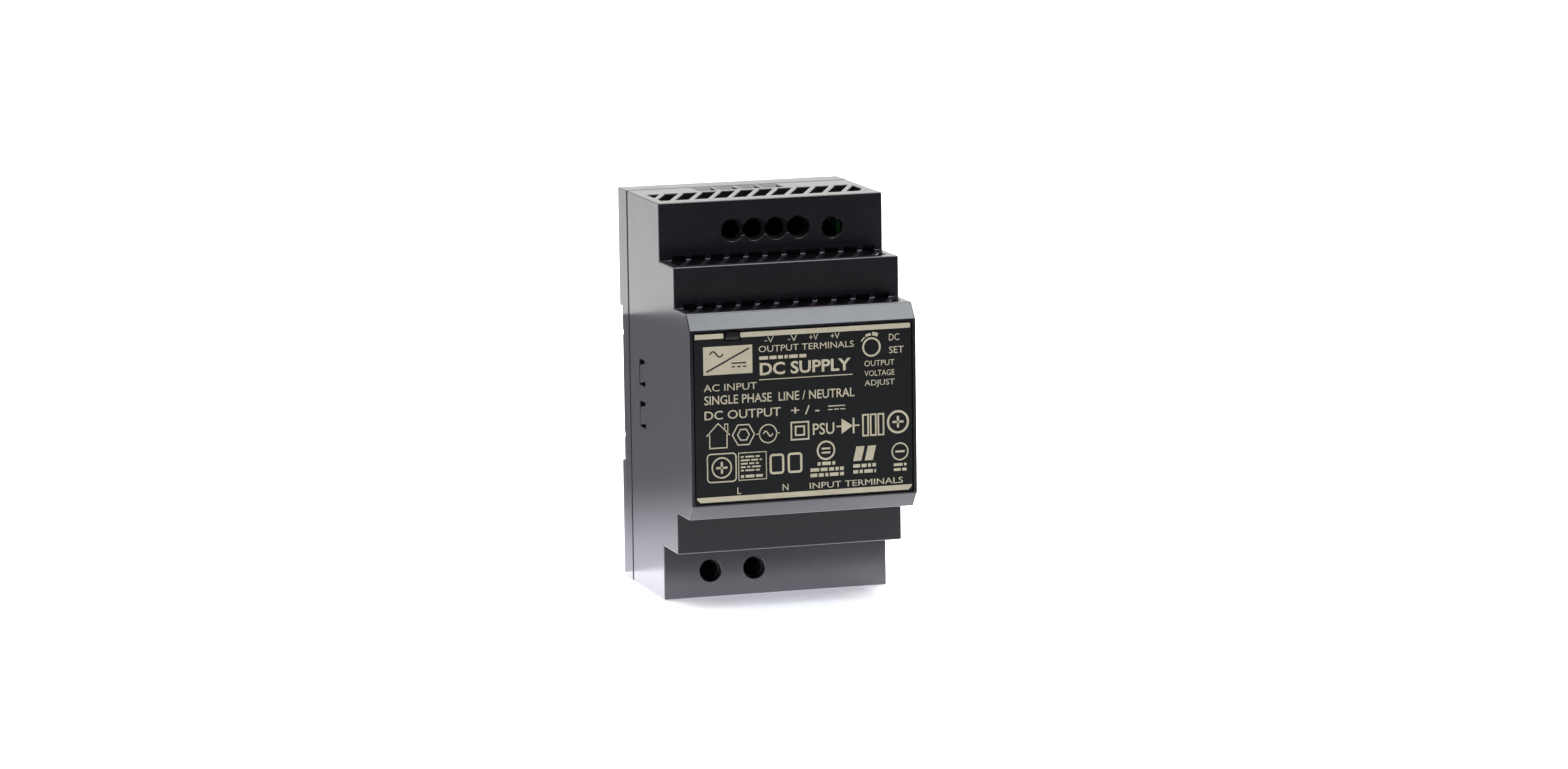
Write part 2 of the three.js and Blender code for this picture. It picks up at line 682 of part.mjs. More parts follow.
/** The screw that clamps a power device to its heatsink. */
function heatsinkScrew() {
  const seat = -1.6;
  const head = rodX(DEVICE.screwDepth, 0, 2.6, [seat - 2, seat]);
  const shank = rodX(DEVICE.screwDepth, 0, 1.4, [seat - 0.5, 2.2], 12);
  const slot = slab([seat - 3, seat - 1.2], around(DEVICE.screwDepth, 4), [-0.35, 0.35]);
  return cut(join(head, shank), slot);
}

function bridgeRectifier() {
  const body = slab([-1.8, 1.8], [-22.5, -9.5], [-7.4, 7.4]);
  const pins = [-5.6, -1.9, 1.9, 5.6].map((z) => slab([-0.3, 0.3], [-10, SEAT], around(z, 0.5)));
  return join(body, pins);
}

function outputInductor() {
  const front = [[0, -20.2], [5.2, -20.2], [5.2, -18.4], [4.2, -18]];
  const back = [[4.2, -10.2], [5.2, -9.8], [5.2, -8], [0, -8]];
  const coil = turned([...front, ...back], 24);
  return join(coil, leads([[-3.4, 0], [3.4, 0]], -9));
}

function optocoupler() {
  const body = slab([-2.3, 2.3], [-10.4, -7.2], [-3.2, 3.2]);
  const pins = CORNERS.map(([a, b]) => slab(around(a * 1.27, 0.3), [-8.8, SEAT], [b * 3, b * 3.6]));
  return join(body, pins);
}

/** The controller chip on the outer side of the control board. */
function controlChip() {
  const face = CONTROL_BOARD.outer;
  const body = slab([face + 0.5, face + 2], [-19, -14], [25, 29]);
  const pins = [-18.4, -17.1, -15.8, -14.6].flatMap((y) =>
    [[24, 25.2], [28.8, 30]].map((zs) => slab([face + GAP, face + 1.1], around(y, 0.22), zs)));
  return join(body, pins);
}

/** Housing of the output voltage trimmer, on the inner side of the control board. */
function trimmerBody() {
  const { x, z, side, front, back } = TRIMMER;
  const body = slab(around(x, side / 2), [front, back], around(z, side / 2));
  const foot = slab([x, CONTROL_BOARD.inner - GAP], [back - 1.6, back - 0.6], around(z, 1));
  return cut(join(body, foot), rodY(x, z, 2.1, [front - THROUGH, front + 3.4]));
}

/** The trimmer's rotor about its own axis, with its crossed tool slots. */
function trimmerRotor() {
  const front = TRIMMER.front - 0.5;
  const back = TRIMMER.front + 2.9;
  const rotor = turned([[0, front], [1.5, front], [1.8, front + 0.3], [1.8, back], [0, back]]);
  const depths = [front - THROUGH, front + 1];
  return cut(rotor, slab([-1.45, 1.45], depths, [-0.28, 0.28]), slab([-0.28, 0.28], depths, [-1.45, 1.45]));
}

const ledSpacer = () => cut(rodY(0, 0, 1.8, [-37.9, SEAT], 16), rodY(0, 0, 1.35, [-39, -5], 16));

function statusLed() {
  const dome = [[0, -42.6], [0.8, -42.3], [1.4, -41.3], [1.5, -40.4]];
  const collar = [[1.5, -39.4], [1.8, -39.4], [1.8, -38.4], [0, -38.4]];
  const lens = turned([...dome, ...collar]);
  return join(lens, leads([[-0.75, 0], [0.75, 0]], -38.8, 0.22));
}

// ---------------------------------------------------------------- assembly

/** The two screw terminals, which stand at opposite ends of the board. */
function addTerminals() {
  const banks = [
    { name: 'output', places: TERMINAL.outputs, limits: [-12.1, 9.5], level: TERMINAL.outputLevel },
    { name: 'input', places: TERMINAL.inputs, limits: [-18.4, -2.1], level: TERMINAL.inputLevel },
  ];
  for (const { name, places, limits, level } of banks) {
    add(`${name}_terminal_block`, terminalBlock({ places, limits, level }), LOOKS.terminalPlastic);
    places.forEach((x, i) => {
      const place = { x, z: level, turn: level > 0 ? 0 : Math.PI };
      add(`${name}_screw_${i + 1}`, terminalScrew(), LOOKS.platedSteel, place);
      add(`${name}_clamp_${i + 1}`, terminalClamp(), LOOKS.platedSteel, place);
      add(`${name}_contact_${i + 1}`, terminalContact(), LOOKS.brass, place);
    });
  }
}

function addCase() {
  add('front_housing', frontHousing(), LOOKS.casePlastic);
  add('rear_cover', rearCover(), LOOKS.casePlastic);
  add('rating_label', ratingLabel(), LOOKS.labelFilm);
  add('led_light_pipe', lightPipe(), LOOKS.lens);
  add('insulation_sheet', insulationSheet(), LOOKS.film);
  add('rail_latch', railLatch(), LOOKS.latchPlastic);
  add('latch_spring', latchSpring(), LOOKS.springSteel);
}

function addBoards() {
  add('main_pcb', mainBoard(), LOOKS.board);
  add('control_pcb', controlBoard(), LOOKS.board);
  add('control_chip', controlChip(), LOOKS.greyEpoxy);
  add('trimmer_body', trimmerBody(), LOOKS.bluePlastic);
  add('trimmer_rotor', trimmerRotor(), LOOKS.greyPlastic, { x: TRIMMER.x, z: TRIMMER.z });
  add('optocoupler', optocoupler(), LOOKS.whitePlastic, { x: -15, z: -0.5 });
  const indicator = { x: LENS.x, z: (LENS.low + LENS.high) / 2 };
  add('status_led', statusLed(), LOOKS.greenLens, indicator);
  add('led_spacer', ledSpacer(), LOOKS.nylon, indicator);
}

function addPowerStage() {
  const transformer = { x: 4, z: 8.5 };
  add('transformer_core', transformerCore(), LOOKS.ferrite, transformer);
  add('transformer_bobbin', transformerBobbin(), LOOKS.bobbin, transformer);
  add('transformer_winding', transformerWinding(), LOOKS.tape, transformer);
  add('bulk_capacitor', canCapacitor(9, 31), LOOKS.sleeve, { x: -12.6, z: -13 });
  add('output_capacitor_1', canCapacitor(5, 18), LOOKS.sleeve, { x: -17, z: 26 });
  add('output_capacitor_2', canCapacitor(5, 18), LOOKS.sleeve, { x: -6, z: 26 });
  add('output_inductor', outputInductor(), LOOKS.copper, { x: 7, z: 26 });
  const primarySide = { x: DEVICE.seat, z: -11 };
  add('primary_switch', powerDevice(), LOOKS.greyEpoxy, primarySide);
  add('primary_heatsink', heatsink(18), LOOKS.aluminium, primarySide);
  add('primary_heatsink_screw', heatsinkScrew(), LOOKS.platedSteel, primarySide);
  const outputSide = { x: -DEVICE.seat, z: 8, turn: Math.PI };
  add('output_rectifier', powerDevice(), LOOKS.greyEpoxy, outputSide);
  add('output_heatsink', heatsink(14), LOOKS.aluminium, outputSide);
  add('output_heatsink_screw', heatsinkScrew(), LOOKS.platedSteel, outputSide);
}

function addInputStage() {
  add('bridge_rectifier', bridgeRectifier(), LOOKS.greyEpoxy, { x: 3, z: -13 });
  add('x_capacitor', boxCapacitor(), LOOKS.yellowBox, { x: -13.5, z: -27.5 });
  add('y_capacitor', discComponent(3.6, 3), LOOKS.blueDisc, { x: 10.4, z: -12 });
  add('choke_core', chokeCore(), LOOKS.ferrite, { x: 7, z: -27.5 });
  add('choke_winding_left', chokeWinding(-1), LOOKS.copper, { x: 7, z: -27.5 });
  add('choke_winding_right', chokeWinding(1), LOOKS.copper, { x: 7, z: -27.5 });
  add('fuse', fuse(), LOOKS.whitePlastic, { x: 3.4, z: -37 });
  add('thermistor', discComponent(4.4, 3.6), LOOKS.greenDisc, { x: 14.4, z: -35 });
  add('varistor', discComponent(4.4, 3.6), LOOKS.blueDisc, { x: 14.4, z: -40 });
}

addCase();
addTerminals();
addBoards();
addPowerStage();
addInputStage();

export default root;
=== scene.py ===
import json
import math

import bmesh
import bpy
from mathutils import Matrix, Quaternion, Vector


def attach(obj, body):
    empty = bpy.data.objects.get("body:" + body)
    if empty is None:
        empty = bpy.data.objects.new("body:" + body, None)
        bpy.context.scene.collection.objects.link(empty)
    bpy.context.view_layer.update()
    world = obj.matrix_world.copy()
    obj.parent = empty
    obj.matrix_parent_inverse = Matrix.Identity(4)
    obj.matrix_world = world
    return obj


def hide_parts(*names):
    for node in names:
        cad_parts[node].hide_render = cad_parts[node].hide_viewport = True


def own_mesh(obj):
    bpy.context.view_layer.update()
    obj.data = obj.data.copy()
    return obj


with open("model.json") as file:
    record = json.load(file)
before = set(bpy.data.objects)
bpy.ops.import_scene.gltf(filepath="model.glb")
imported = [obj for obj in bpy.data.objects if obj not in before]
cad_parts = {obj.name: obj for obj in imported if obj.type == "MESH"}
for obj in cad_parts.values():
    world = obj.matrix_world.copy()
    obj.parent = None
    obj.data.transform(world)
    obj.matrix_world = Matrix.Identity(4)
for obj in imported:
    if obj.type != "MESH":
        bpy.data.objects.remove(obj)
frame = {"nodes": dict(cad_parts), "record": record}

SCENE = bpy.context.scene
NODES = frame["nodes"]
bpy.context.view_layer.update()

# ------ dimensions, in millimetres

HALF = 26.25  # three 17.5 mm modules wide
WALL = 1.5
BODY_HALF = 45.0
MIDDLE = -0.35  # height about which the tiers in front of the body are symmetric
TIER_HALF = 32.3
WINDOW_HALF = 23.1
FACE_HALF = 19.6
BODY_FRONT = -31.3
TIER_FRONT = -42.7
CHAMFER_BACK = -51.7
FACE_FRONT = -54.5
HOUSING_BACK = -5.95

EDGE_ROUND = 0.32
FOOT_ROUND = 0.22  # in the corner between a step and the wall behind it
FACE_ROUND = 0.22
BACK_ROUND = 0.12
RIM = 0.16  # chamfer round every hole in the housing

VENT_PITCH = 4.47
VENT_WIDTH = 3.15
VENT_MIDDLE = 0.45  # left edge of slot number 0, carried back to the rail seat
VENT_NUMBERS = range(-4, 11)
VENT_LEAN = 0.47
VENT_HALF = 24.2
LEAST_SPACING = 0.3  # between two points of a slot's clipped outline
LEAST_SLOT, WHOLE_SLOT = 0.3, 1.0  # areas under which a slot is left out, or has tight corners
NOTCH = 0.8  # how far a step's slots run back into the foot of the wall behind
NOTCH_RISE = 1.0
BODY_VENT = (-26.9, -14.8)
STEP_VENTS = ((TIER_HALF, -40.0, BODY_FRONT), (WINDOW_HALF, -49.6, TIER_FRONT))

OUTPUT_LEVEL = 38.1  # of the upper row of terminal screws
INPUT_LEVEL = -38.9
OUTPUTS = (-9.1, -3.9, 1.3, 6.5)
INPUTS = (-15.4, -5.1)
HOLE_RADIUS = 2.5
NECK_HALF = 1.2
TRIMMER = (14.4, 37.6, 2.4)
ENTRY_HALF = 2.2
ENTRY_FRONT, ENTRY_BACK, ENTRY_LEAD = -13.0, -8.8, 2.2
ENTRY_CORNER = 0.35

LABEL_HALF, LABEL_MIDDLE, LABEL_LEVEL = 25.2, -0.45, 19.0
LABEL_FRONT, LABEL_THICK, GAP = -54.3, 0.3, 0.3
LENS_X, LENS_HALF, LENS_LOW, LENS_HIGH = -16.3, 1.6, 16.9, 18.8
PRINT_BACK, PRINT_FRONT = LABEL_FRONT + 0.01, LABEL_FRONT - 0.035
PRINT_SCALE, PRINT_SHIFT = 1.017, -0.4  # from the drawing's heights to those on the label

SNAP_LEVELS = (-5.0, 4.6)
SNAP_FRONT, SNAP_BACK, SNAP_HALF = -18.1, -13.3, 2.95

SPRING_RADIUS, SPRING_WIRE, SPRING_TURNS = 1.05, 0.225, 7
SPRING_Y, SPRING_LOW, SPRING_HIGH = 0.5, -33.85, -22.15
SPRING_STEPS, SPRING_SIDES = 28, 12  # rings to a turn, and sides of the wire
SPRING_CLOSING = 0.035  # share of the height by which the end turns close up

BEVEL_ABOVE, BEVEL_SEGMENTS, REFINED_SMOOTH = 25.0, 2, 32.0  # for pieces refined from the frame


# ------ mesh building

def new_object(name, bm, smooth_angle=30.0):
    """An object from a bmesh in millimetres, still in millimetres."""
    bmesh.ops.recalc_face_normals(bm, faces=bm.faces)
    mesh = bpy.data.meshes.new(name)
    bm.to_mesh(mesh)
    bm.free()
    obj = bpy.data.objects.new(name, mesh)
    SCENE.collection.objects.link(obj)
    shade(mesh, smooth_angle)
    return obj


def shade(mesh, smooth_angle):
    mesh.shade_smooth()
    mesh.set_sharp_from_angle(angle=math.radians(smooth_angle))


def bake(obj):
    """Applies the object's modifiers to its mesh."""
    bpy.context.view_layer.update()
    depsgraph = bpy.context.evaluated_depsgraph_get()
    mesh = bpy.data.meshes.new_from_object(obj.evaluated_get(depsgraph))
    obj.modifiers.clear()
    obj.data = mesh
    return obj


def settle(obj, material, body, replaced=(), weighted=True):
    """Puts a finished piece in metres, with its material, and ties it to its CAD body."""
    obj.data.transform(Matrix.Scale(0.001, 4))
    obj.data.materials.clear()
    obj.data.materials.append(material)
    if weighted:
        normals = obj.modifiers.new("normals", "WEIGHTED_NORMAL")
        normals.keep_sharp = True
    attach(obj, body)
    if replaced:
        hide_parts(*replaced)
    return obj


def loft(bm, rings):
    """A closed skin through rings of points, with flat ends."""
    loops = [[bm.verts.new(point) for point in ring] for ring in rings]
    count = len(loops[0])
    for low, high in zip(loops, loops[1:]):
        for i in range(count):
            j = (i + 1) % count
            bm.faces.new((low[i], low[j], high[j], high[i]))
    bm.faces.new(list(reversed(loops[0])))
    bm.faces.new(loops[-1])


def circle(x, z, radius, count=48):
    """Points round a circle, anticlockwise."""
    angles = [2 * math.pi * i / count for i in range(count)]
    return [(x + radius * math.cos(a), z + radius * math.sin(a)) for a in angles]


def offset(outline, distance):
    """An outline moved outwards, its corners mitred; its points run anticlockwise."""
    count = len(outline)
    normals = []
    for i in range(count):
        (u0, v0), (u1, v1) = outline[i], outline[(i + 1) % count]
        normals.append(Vector((v1 - v0, u0 - u1)).normalized())
    moved = []
    for i, (u, v) in enumerate(outline):
        before, after = normals[i - 1], normals[i]
        reach = distance / (1 + before.dot(after))
        moved.append((u + (before.x + after.x) * reach, v + (before.y + after.y) * reach))
    return moved


def rounded(outline, radius, steps=4):
    """An anticlockwise convex outline with its corners rounded."""
    points = []
    count = len(outline)
    for i in range(count):
        corner = Vector(outline[i])
        before = (Vector(outline[i - 1]) - corner).normalized()
        after = (Vector(outline[(i + 1) % count]) - corner).normalized()
        half = before.angle(after) / 2
        reach = radius / math.tan(half)
        centre = corner + (before + after).normalized() * (radius / math.sin(half))
        start, end = corner + before * reach - centre, corner + after * reach - centre
        turn = start.angle_signed(end)
        for step in range(steps + 1):
            angle = turn * step / steps
            arm = Vector((
                start.x * math.cos(angle) + start.y * math.sin(angle),
                -start.x * math.sin(angle) + start.y * math.cos(angle),
            ))
            points.append(tuple(centre + arm))
    return points


def area(outline):
    """Area inside an anticlockwise outline."""
    after = outline[1:] + outline[:1]
    return sum(u0 * v1 - u1 * v0 for (u0, v0), (u1, v1) in zip(outline, after)) / 2


def box_outline(xs, zs):
    """A rectangle's corners, anticlockwise."""
    return [(xs[0], zs[0]), (xs[1], zs[0]), (xs[1], zs[1]), (xs[0], zs[1])]


def flared(bm, outline_at, surface, inside, outwards, place):
    """A cutter that runs from inside to past a surface, with a chamfered rim."""
    past = 0.06
    levels = (
        (inside, 0.0),
        (surface - outwards * RIM, 0.0),
        (surface, RIM),
        (surface + outwards * past, RIM + past),
    )
    loft(bm, [[place(u, v, level) for u, v in outline_at(grow)] for level, grow in levels])


def swelling(outline, corner, share):
    """How an outline and its corners grow along a flared rim."""
    return lambda grow: rounded(offset(outline, grow), corner + share * min(grow, RIM))


def from_above(u, v, level):
    return (u, v, level)


def from_front(u, v, level):
    return (u, level, v)


def from_side(u, v, level):
    return (level, u, v)


def tier_level(end, half):
    """Height of a tier's upper or lower face, in front of the body."""
    return MIDDLE + end * half


def half_outline(back, end):
    """The upper or lower half of the housing's profile, as [y, z] points."""
    tier, window, face = (tier_level(end, half) for half in (TIER_HALF, WINDOW_HALF, FACE_HALF))
    return [
        (back, end * BODY_HALF),
        (BODY_FRONT, end * BODY_HALF),
        (BODY_FRONT, tier),
        (TIER_FRONT, tier),
        (TIER_FRONT, window),
        (CHAMFER_BACK, window),
        (FACE_FRONT, face),
    ]


def case_outline(back):
    return half_outline(back, 1) + half_outline(back, -1)[::-1]


def cutter_object(build):
    """One object that holds every cutter of a kind."""
    bm = bmesh.new()
    build(bm)
    return new_object("cutter", bm)


def subtract(obj, cutters):
    """Cuts every cutter from an object, and removes the cutters."""
    for cutter in cutters:
        cut = obj.modifiers.new("cut", "BOOLEAN")
        cut.operation = "DIFFERENCE"
        cut.solver = "EXACT"
        cut.object = cutter
    bake(obj)
    for cutter in cutters:
        bpy.data.objects.remove(cutter)
    return obj


# ------ the front housing

def vent_outline(front, back, n):
    """One slanted slot as [x, y] points, clipped to the vent window."""
    start = VENT_MIDDLE + n * VENT_PITCH
    left_front, left_back = start + VENT_LEAN * front, start + VENT_LEAN * back
    points = [
        (left_front, front), (left_front + VENT_WIDTH, front),
        (left_back + VENT_WIDTH, back), (left_back, back),
    ]
    for side in (-1, 1):
        kept = []
        for i, point in enumerate(points):
            before = points[i - 1]
            inside, was_inside = side * point[0] <= VENT_HALF, side * before[0] <= VENT_HALF
            if inside != was_inside:
                share = (side * VENT_HALF - before[0]) / (point[0] - before[0])
                kept.append((side * VENT_HALF, before[1] + share * (point[1] - before[1])))
            if inside:
                kept.append(point)
        points = kept
    return [
        point for i, point in enumerate(points)
        if math.dist(point, points[i - 1]) > LEAST_SPACING
    ]


def vent_rows():
    """Level, outward direction and depths of every row of slots."""
    for end in (-1, 1):
        yield end * BODY_HALF, end, *BODY_VENT
        for half, front, back in STEP_VENTS:
            yield tier_level(end, half), end, front, back + NOTCH


def cut_vents(bm):
    for level, end, front, back in vent_rows():
        inside = level - end * (WALL + 0.6)
        for n in VENT_NUMBERS:
            outline = vent_outline(front, back, n)
            if len(outline) < 3 or area(outline) < LEAST_SLOT:
                continue
            corner = 0.05 if area(outline) < WHOLE_SLOT else 0.22
            flared(bm, swelling(outline, corner, 0.4), level, inside, end, from_above)


def cut_notches(bm):
    """The ends of the steps' slots, up into the foot of the wall behind."""
    for half, _, wall in STEP_VENTS:
        for n in VENT_NUMBERS:
            outline = vent_outline(wall - 0.9, wall + NOTCH - 0.02, n)
            if len(outline) < 3 or area(outline) < WHOLE_SLOT:
                continue
            slot = rounded(offset(outline, 0.05), 0.2)
            for end in (-1, 1):
                foot = tier_level(end, half)
                levels = (foot - end * 0.5, foot + end * NOTCH_RISE)
                loft(bm, [[(u, v, z) for u, v in slot] for z in levels])


def scallop(grow):
    """Outline of the four joined output holes."""
    level = OUTPUT_LEVEL
    radius, neck = HOLE_RADIUS + grow, NECK_HALF + grow
    notch = math.asin(neck / radius)
    steps = 20
    lower, upper = [], []
    for n, x in enumerate(OUTPUTS):
        start = math.pi if n == 0 else math.pi + notch
        end = 2 * math.pi if n == len(OUTPUTS) - 1 else 2 * math.pi - notch
        for step in range(steps + 1):
            angle = start + (end - start) * step / steps
            point = (x + radius * math.cos(angle), level + radius * math.sin(angle))
            lower.append(point)
            upper.append((point[0], 2 * level - point[1]))
    return lower + list(reversed(upper))[1:-1]


def cut_fronts(bm):
    """The screwdriver holes and the trimmer's hole."""
    inside = BODY_FRONT + WALL + 1
    flared(bm, scallop, BODY_FRONT, inside, -1, from_front)
    rounds = [(x, INPUT_LEVEL, HOLE_RADIUS) for x in INPUTS] + [TRIMMER]
    for x, z, radius in rounds:
        flared(bm, lambda grow: circle(x, z, radius + grow), BODY_FRONT, inside, -1, from_front)


def cut_entries(bm):
    """The wire entries, whose back wall slopes away to lead the wire in."""
    levels = (
        (BODY_HALF - WALL - 1, -1.0 / WALL),
        (BODY_HALF - RIM, 1 - RIM / WALL),
        (BODY_HALF, 1.0),
        (BODY_HALF + 1, 1 + 1 / WALL),
    )
    for end, places in ((1, OUTPUTS), (-1, INPUTS)):
        for x in places:
            rings = []
            for z, lead in levels:
                grow = max(0.0, z - BODY_HALF + RIM)
                outline = box_outline(
                    (x - ENTRY_HALF - grow, x + ENTRY_HALF + grow),
                    (ENTRY_FRONT - grow, ENTRY_BACK + ENTRY_LEAD * lead + 0.4 * grow),
                )
                rings.append([(u, v, end * z) for u, v in rounded(outline, ENTRY_CORNER)])
            loft(bm, rings)


def cut_snaps(bm):
    """The side windows in which the rear cover's snap arms catch."""
    for side in (-1, 1):
        surface, inside = side * HALF, side * (HALF - WALL - 1)
        for z in SNAP_LEVELS:
            outline = box_outline((SNAP_FRONT, SNAP_BACK), (z - SNAP_HALF, z + SNAP_HALF))
            flared(bm, swelling(outline, 0.2, 0.3), surface, inside, side, from_side)


def lens_outline(margin):
    """The light pipe's outline, with its arched top, grown by a margin."""
    half, shoulder = LENS_HALF + margin, LENS_HIGH - 0.5 + margin
    arch = [
        (LENS_X + half * math.cos(math.pi * i / 16), shoulder + 0.5 * math.sin(math.pi * i / 16))
        for i in range(17)
    ]
    return [(LENS_X - half, LENS_LOW - margin), (LENS_X + half, LENS_LOW - margin)] + arch


def label_outline():
    levels = (LABEL_MIDDLE - LABEL_LEVEL, LABEL_MIDDLE + LABEL_LEVEL)
    return box_outline((-LABEL_HALF, LABEL_HALF), levels)


def cut_label(bm):
    floor = LABEL_FRONT + LABEL_THICK + GAP
    outline = rounded(offset(label_outline(), GAP), 0.5, 6)
    loft(bm, [[(x, y, z) for x, z in outline] for y in (floor, FACE_FRONT - 1)])


def cut_lens(bm):
    outline = lens_outline(GAP)
    loft(bm, [[(x, y, z) for x, z in outline] for y in (CHAMFER_BACK + WALL, FACE_FRONT - 1)])


def cut_cavity(bm):
    inner = offset(case_outline(HOUSING_BACK + WALL + 1), -WALL)
    loft(bm, [[(x, y, z) for y, z in inner] for x in (-HALF + WALL, HALF - WALL)])


def build_housing():
    """The stepped shell: its edges are rounded first, then everything is cut from it."""
    bm = bmesh.new()
    outline = case_outline(HOUSING_BACK)
    loft(bm, [[(x, y, z) for y, z in outline] for x in (-HALF, HALF)])
    feet = [(wall, tier_level(end, half)) for half, _, wall in STEP_VENTS for end in (-1, 1)]
    weights = bm.edges.layers.float.new("bevel_weight_edge")
    for edge in bm.edges:
        ends = [vert.co for vert in edge.verts]
        if any(all(math.dist((co.y, co.z), foot) < 0.01 for co in ends) for foot in feet):
            width = FOOT_ROUND
        elif all(abs(co.y - HOUSING_BACK) < 0.01 for co in ends):
            width = BACK_ROUND
        elif all(abs(co.y - FACE_FRONT) < 0.01 for co in ends):
            width = FACE_ROUND
        else:
            width = EDGE_ROUND
        edge[weights] = width
    housing = new_object("front_housing_shell", bm)
    bevel = housing.modifiers.new("bevel", "BEVEL")
    bevel.limit_method = "WEIGHT"
    bevel.width = 1.0
    bevel.segments = 3
    bevel.use_clamp_overlap = False
    bake(housing)

    cuts = (
        cut_cavity, cut_label, cut_lens, cut_fronts, cut_entries, cut_snaps, cut_vents, cut_notches
    )
    subtract(housing, [cutter_object(cut) for cut in cuts])
    shade(housing.data, 35)
    return housing


# ------ pieces refined from the frame

def refine(node, width):
    """A copy of a CAD node with its flat faces joined and its edges rounded, in millimetres.

    Where the rounding would not leave a closed body it is halved, and then left out.
    """
    source = NODES[node]
    limit = math.radians(BEVEL_ABOVE)
    for attempt in (width, width / 2, 0.0):
        bm = bmesh.new()
        bm.from_mesh(source.data)
        bmesh.ops.scale(bm, vec=(1000.0,) * 3, verts=bm.verts)
        bmesh.ops.remove_doubles(bm, verts=bm.verts, dist=0.002)
        bmesh.ops.dissolve_degenerate(bm, edges=bm.edges, dist=0.001)
        bmesh.ops.dissolve_limit(bm, angle_limit=math.radians(0.5), verts=bm.verts, edges=bm.edges)
        if attempt:
            sharp = [e for e in bm.edges if e.is_manifold and e.calc_face_angle() > limit]
            bmesh.ops.bevel(
                bm, geom=sharp, offset=attempt, offset_type="OFFSET", segments=BEVEL_SEGMENTS,
                profile=0.5, affect="EDGES", clamp_overlap=True,
            )
        if all(e.is_manifold for e in bm.edges):
            break
        if attempt:
            bm.free()
    return new_object(node + "_finished", bm, REFINED_SMOOTH)


# ------ materials

def preset(node, numbers):
    """Sets a node's inputs by name."""
    for socket, number in numbers.items():
        node.inputs[socket].default_value = number


def ramp(low, high, to_low, to_high):
    return {"From Min": low, "From Max": high, "To Min": to_low, "To Max": to_high}


class Paint:
    """A material whose pattern nodes read the object's own coordinates, in millimetres."""

    def __init__(self, name, metallic=0.0, ior=1.5, coat=0.0, coat_roughness=0.1):
        self.material = bpy.data.materials.new(name)
        self.material.use_nodes = True
        self.nodes = self.material.node_tree.nodes
        self.links = self.material.node_tree.links
        self.shader = self.nodes["Principled BSDF"]
        preset(self.shader, {"Metallic": metallic, "IOR": ior})
        preset(self.shader, {"Coat Weight": coat, "Coat Roughness": coat_roughness})
        place = self.nodes.new("ShaderNodeTexCoord")
        scale = self.node("ShaderNodeVectorMath", operation="SCALE")
        scale.inputs["Scale"].default_value = 1000.0
        self.links.new(place.outputs["Object"], scale.inputs[0])
        self.place = scale.outputs[0]

    def node(self, kind, **settings):
        """A new node with these settings."""
        node = self.nodes.new(kind)
        for key, value in settings.items():
            setattr(node, key, value)
        return node

    def stretched(self, factors):
        """The coordinates, scaled along each axis."""
        multiply = self.node("ShaderNodeVectorMath", operation="MULTIPLY")
        multiply.inputs[1].default_value = factors
        self.links.new(self.place, multiply.inputs[0])
        return multiply.outputs[0]

    def noise(self, size, detail=2.0, rough=0.5, stretch=(1.0, 1.0, 1.0), warp=0.0):
        """Noise whose features are about size millimetres across."""
        node = self.nodes.new("ShaderNodeTexNoise")
        preset(node, {"Scale": 1.0 / size, "Detail": detail})
        preset(node, {"Roughness": rough, "Distortion": warp})
        self.links.new(self.stretched(stretch), node.inputs["Vector"])
        return node.outputs["Fac"]

    def cells(self, size, feature="F1", metric="EUCLIDEAN", stretch=(1.0, 1.0, 1.0)):
        """Distance within cells that are about size millimetres across."""
        node = self.node("ShaderNodeTexVoronoi", feature=feature, distance=metric)
        node.inputs["Scale"].default_value = 1.0 / size
        self.links.new(self.stretched(stretch), node.inputs["Vector"])
        return node.outputs["Distance"]

    def waves(self, pitch, axis, warp):
        """Bands across an axis, one every pitch millimetres."""
        node = self.node("ShaderNodeTexWave", wave_type="BANDS", wave_profile="SIN")
        node.bands_direction = axis
        preset(node, {"Scale": math.pi / (10 * pitch), "Distortion": warp})
        self.links.new(self.place, node.inputs["Vector"])
        return node.outputs["Fac"]

    def ranged(self, value, low, high, to_low=0.0, to_high=1.0):
        node = self.nodes.new("ShaderNodeMapRange")
        self.links.new(value, node.inputs["Value"])
        preset(node, ramp(low, high, to_low, to_high))
        return node.outputs["Result"]

    def combine(self, operation, first, second):
        node = self.node("ShaderNodeMath", operation=operation)
        for socket, value in zip(node.inputs, (first, second)):
            if isinstance(value, (int, float)):
                socket.default_value = value
            else:
                self.links.new(value, socket)
        return node.outputs[0]

    def blend(self, factor, first, second):
        node = self.node("ShaderNodeMix", data_type="RGBA")
        self.links.new(factor, node.inputs["Factor"])
        for socket, value in zip(("A", "B"), (first, second)):
            target = next(i for i in node.inputs if i.name == socket and i.type == "RGBA")
            if isinstance(value, tuple):
                target.default_value = (*value, 1.0)
            else:
                self.links.new(value, target)
        return next(o for o in node.outputs if o.type == "RGBA")

    def mottled(self, value, color, low, high):
        """A colour that drifts between two shades of itself."""
        return self.blend(self.ranged(value, 0.3, 0.7), shaded(color, low), shaded(color, high))

    def finish(self, color, roughness, height, depth):
        """Wires colour and roughness in, with a bump of at most depth millimetres."""
        self.links.new(color, self.shader.inputs["Base Color"])
        self.links.new(roughness, self.shader.inputs["Roughness"])
        bump = self.nodes.new("ShaderNodeBump")
        preset(bump, {"Strength": 1.0, "Distance": depth * 0.001})
        self.links.new(height, bump.inputs["Height"])
        self.links.new(bump.outputs["Normal"], self.shader.inputs["Normal"])
        return self.material


def srgb(code):
    """Linear colour of a six-figure sRGB code."""
    parts = [int(code[i:i + 2], 16) / 255 for i in (0, 2, 4)]
    return tuple(c / 12.92 if c <= 0.04045 else ((c + 0.055) / 1.055) ** 2.4 for c in parts)


def shaded(color, factor):
    return tuple(c * factor for c in color)


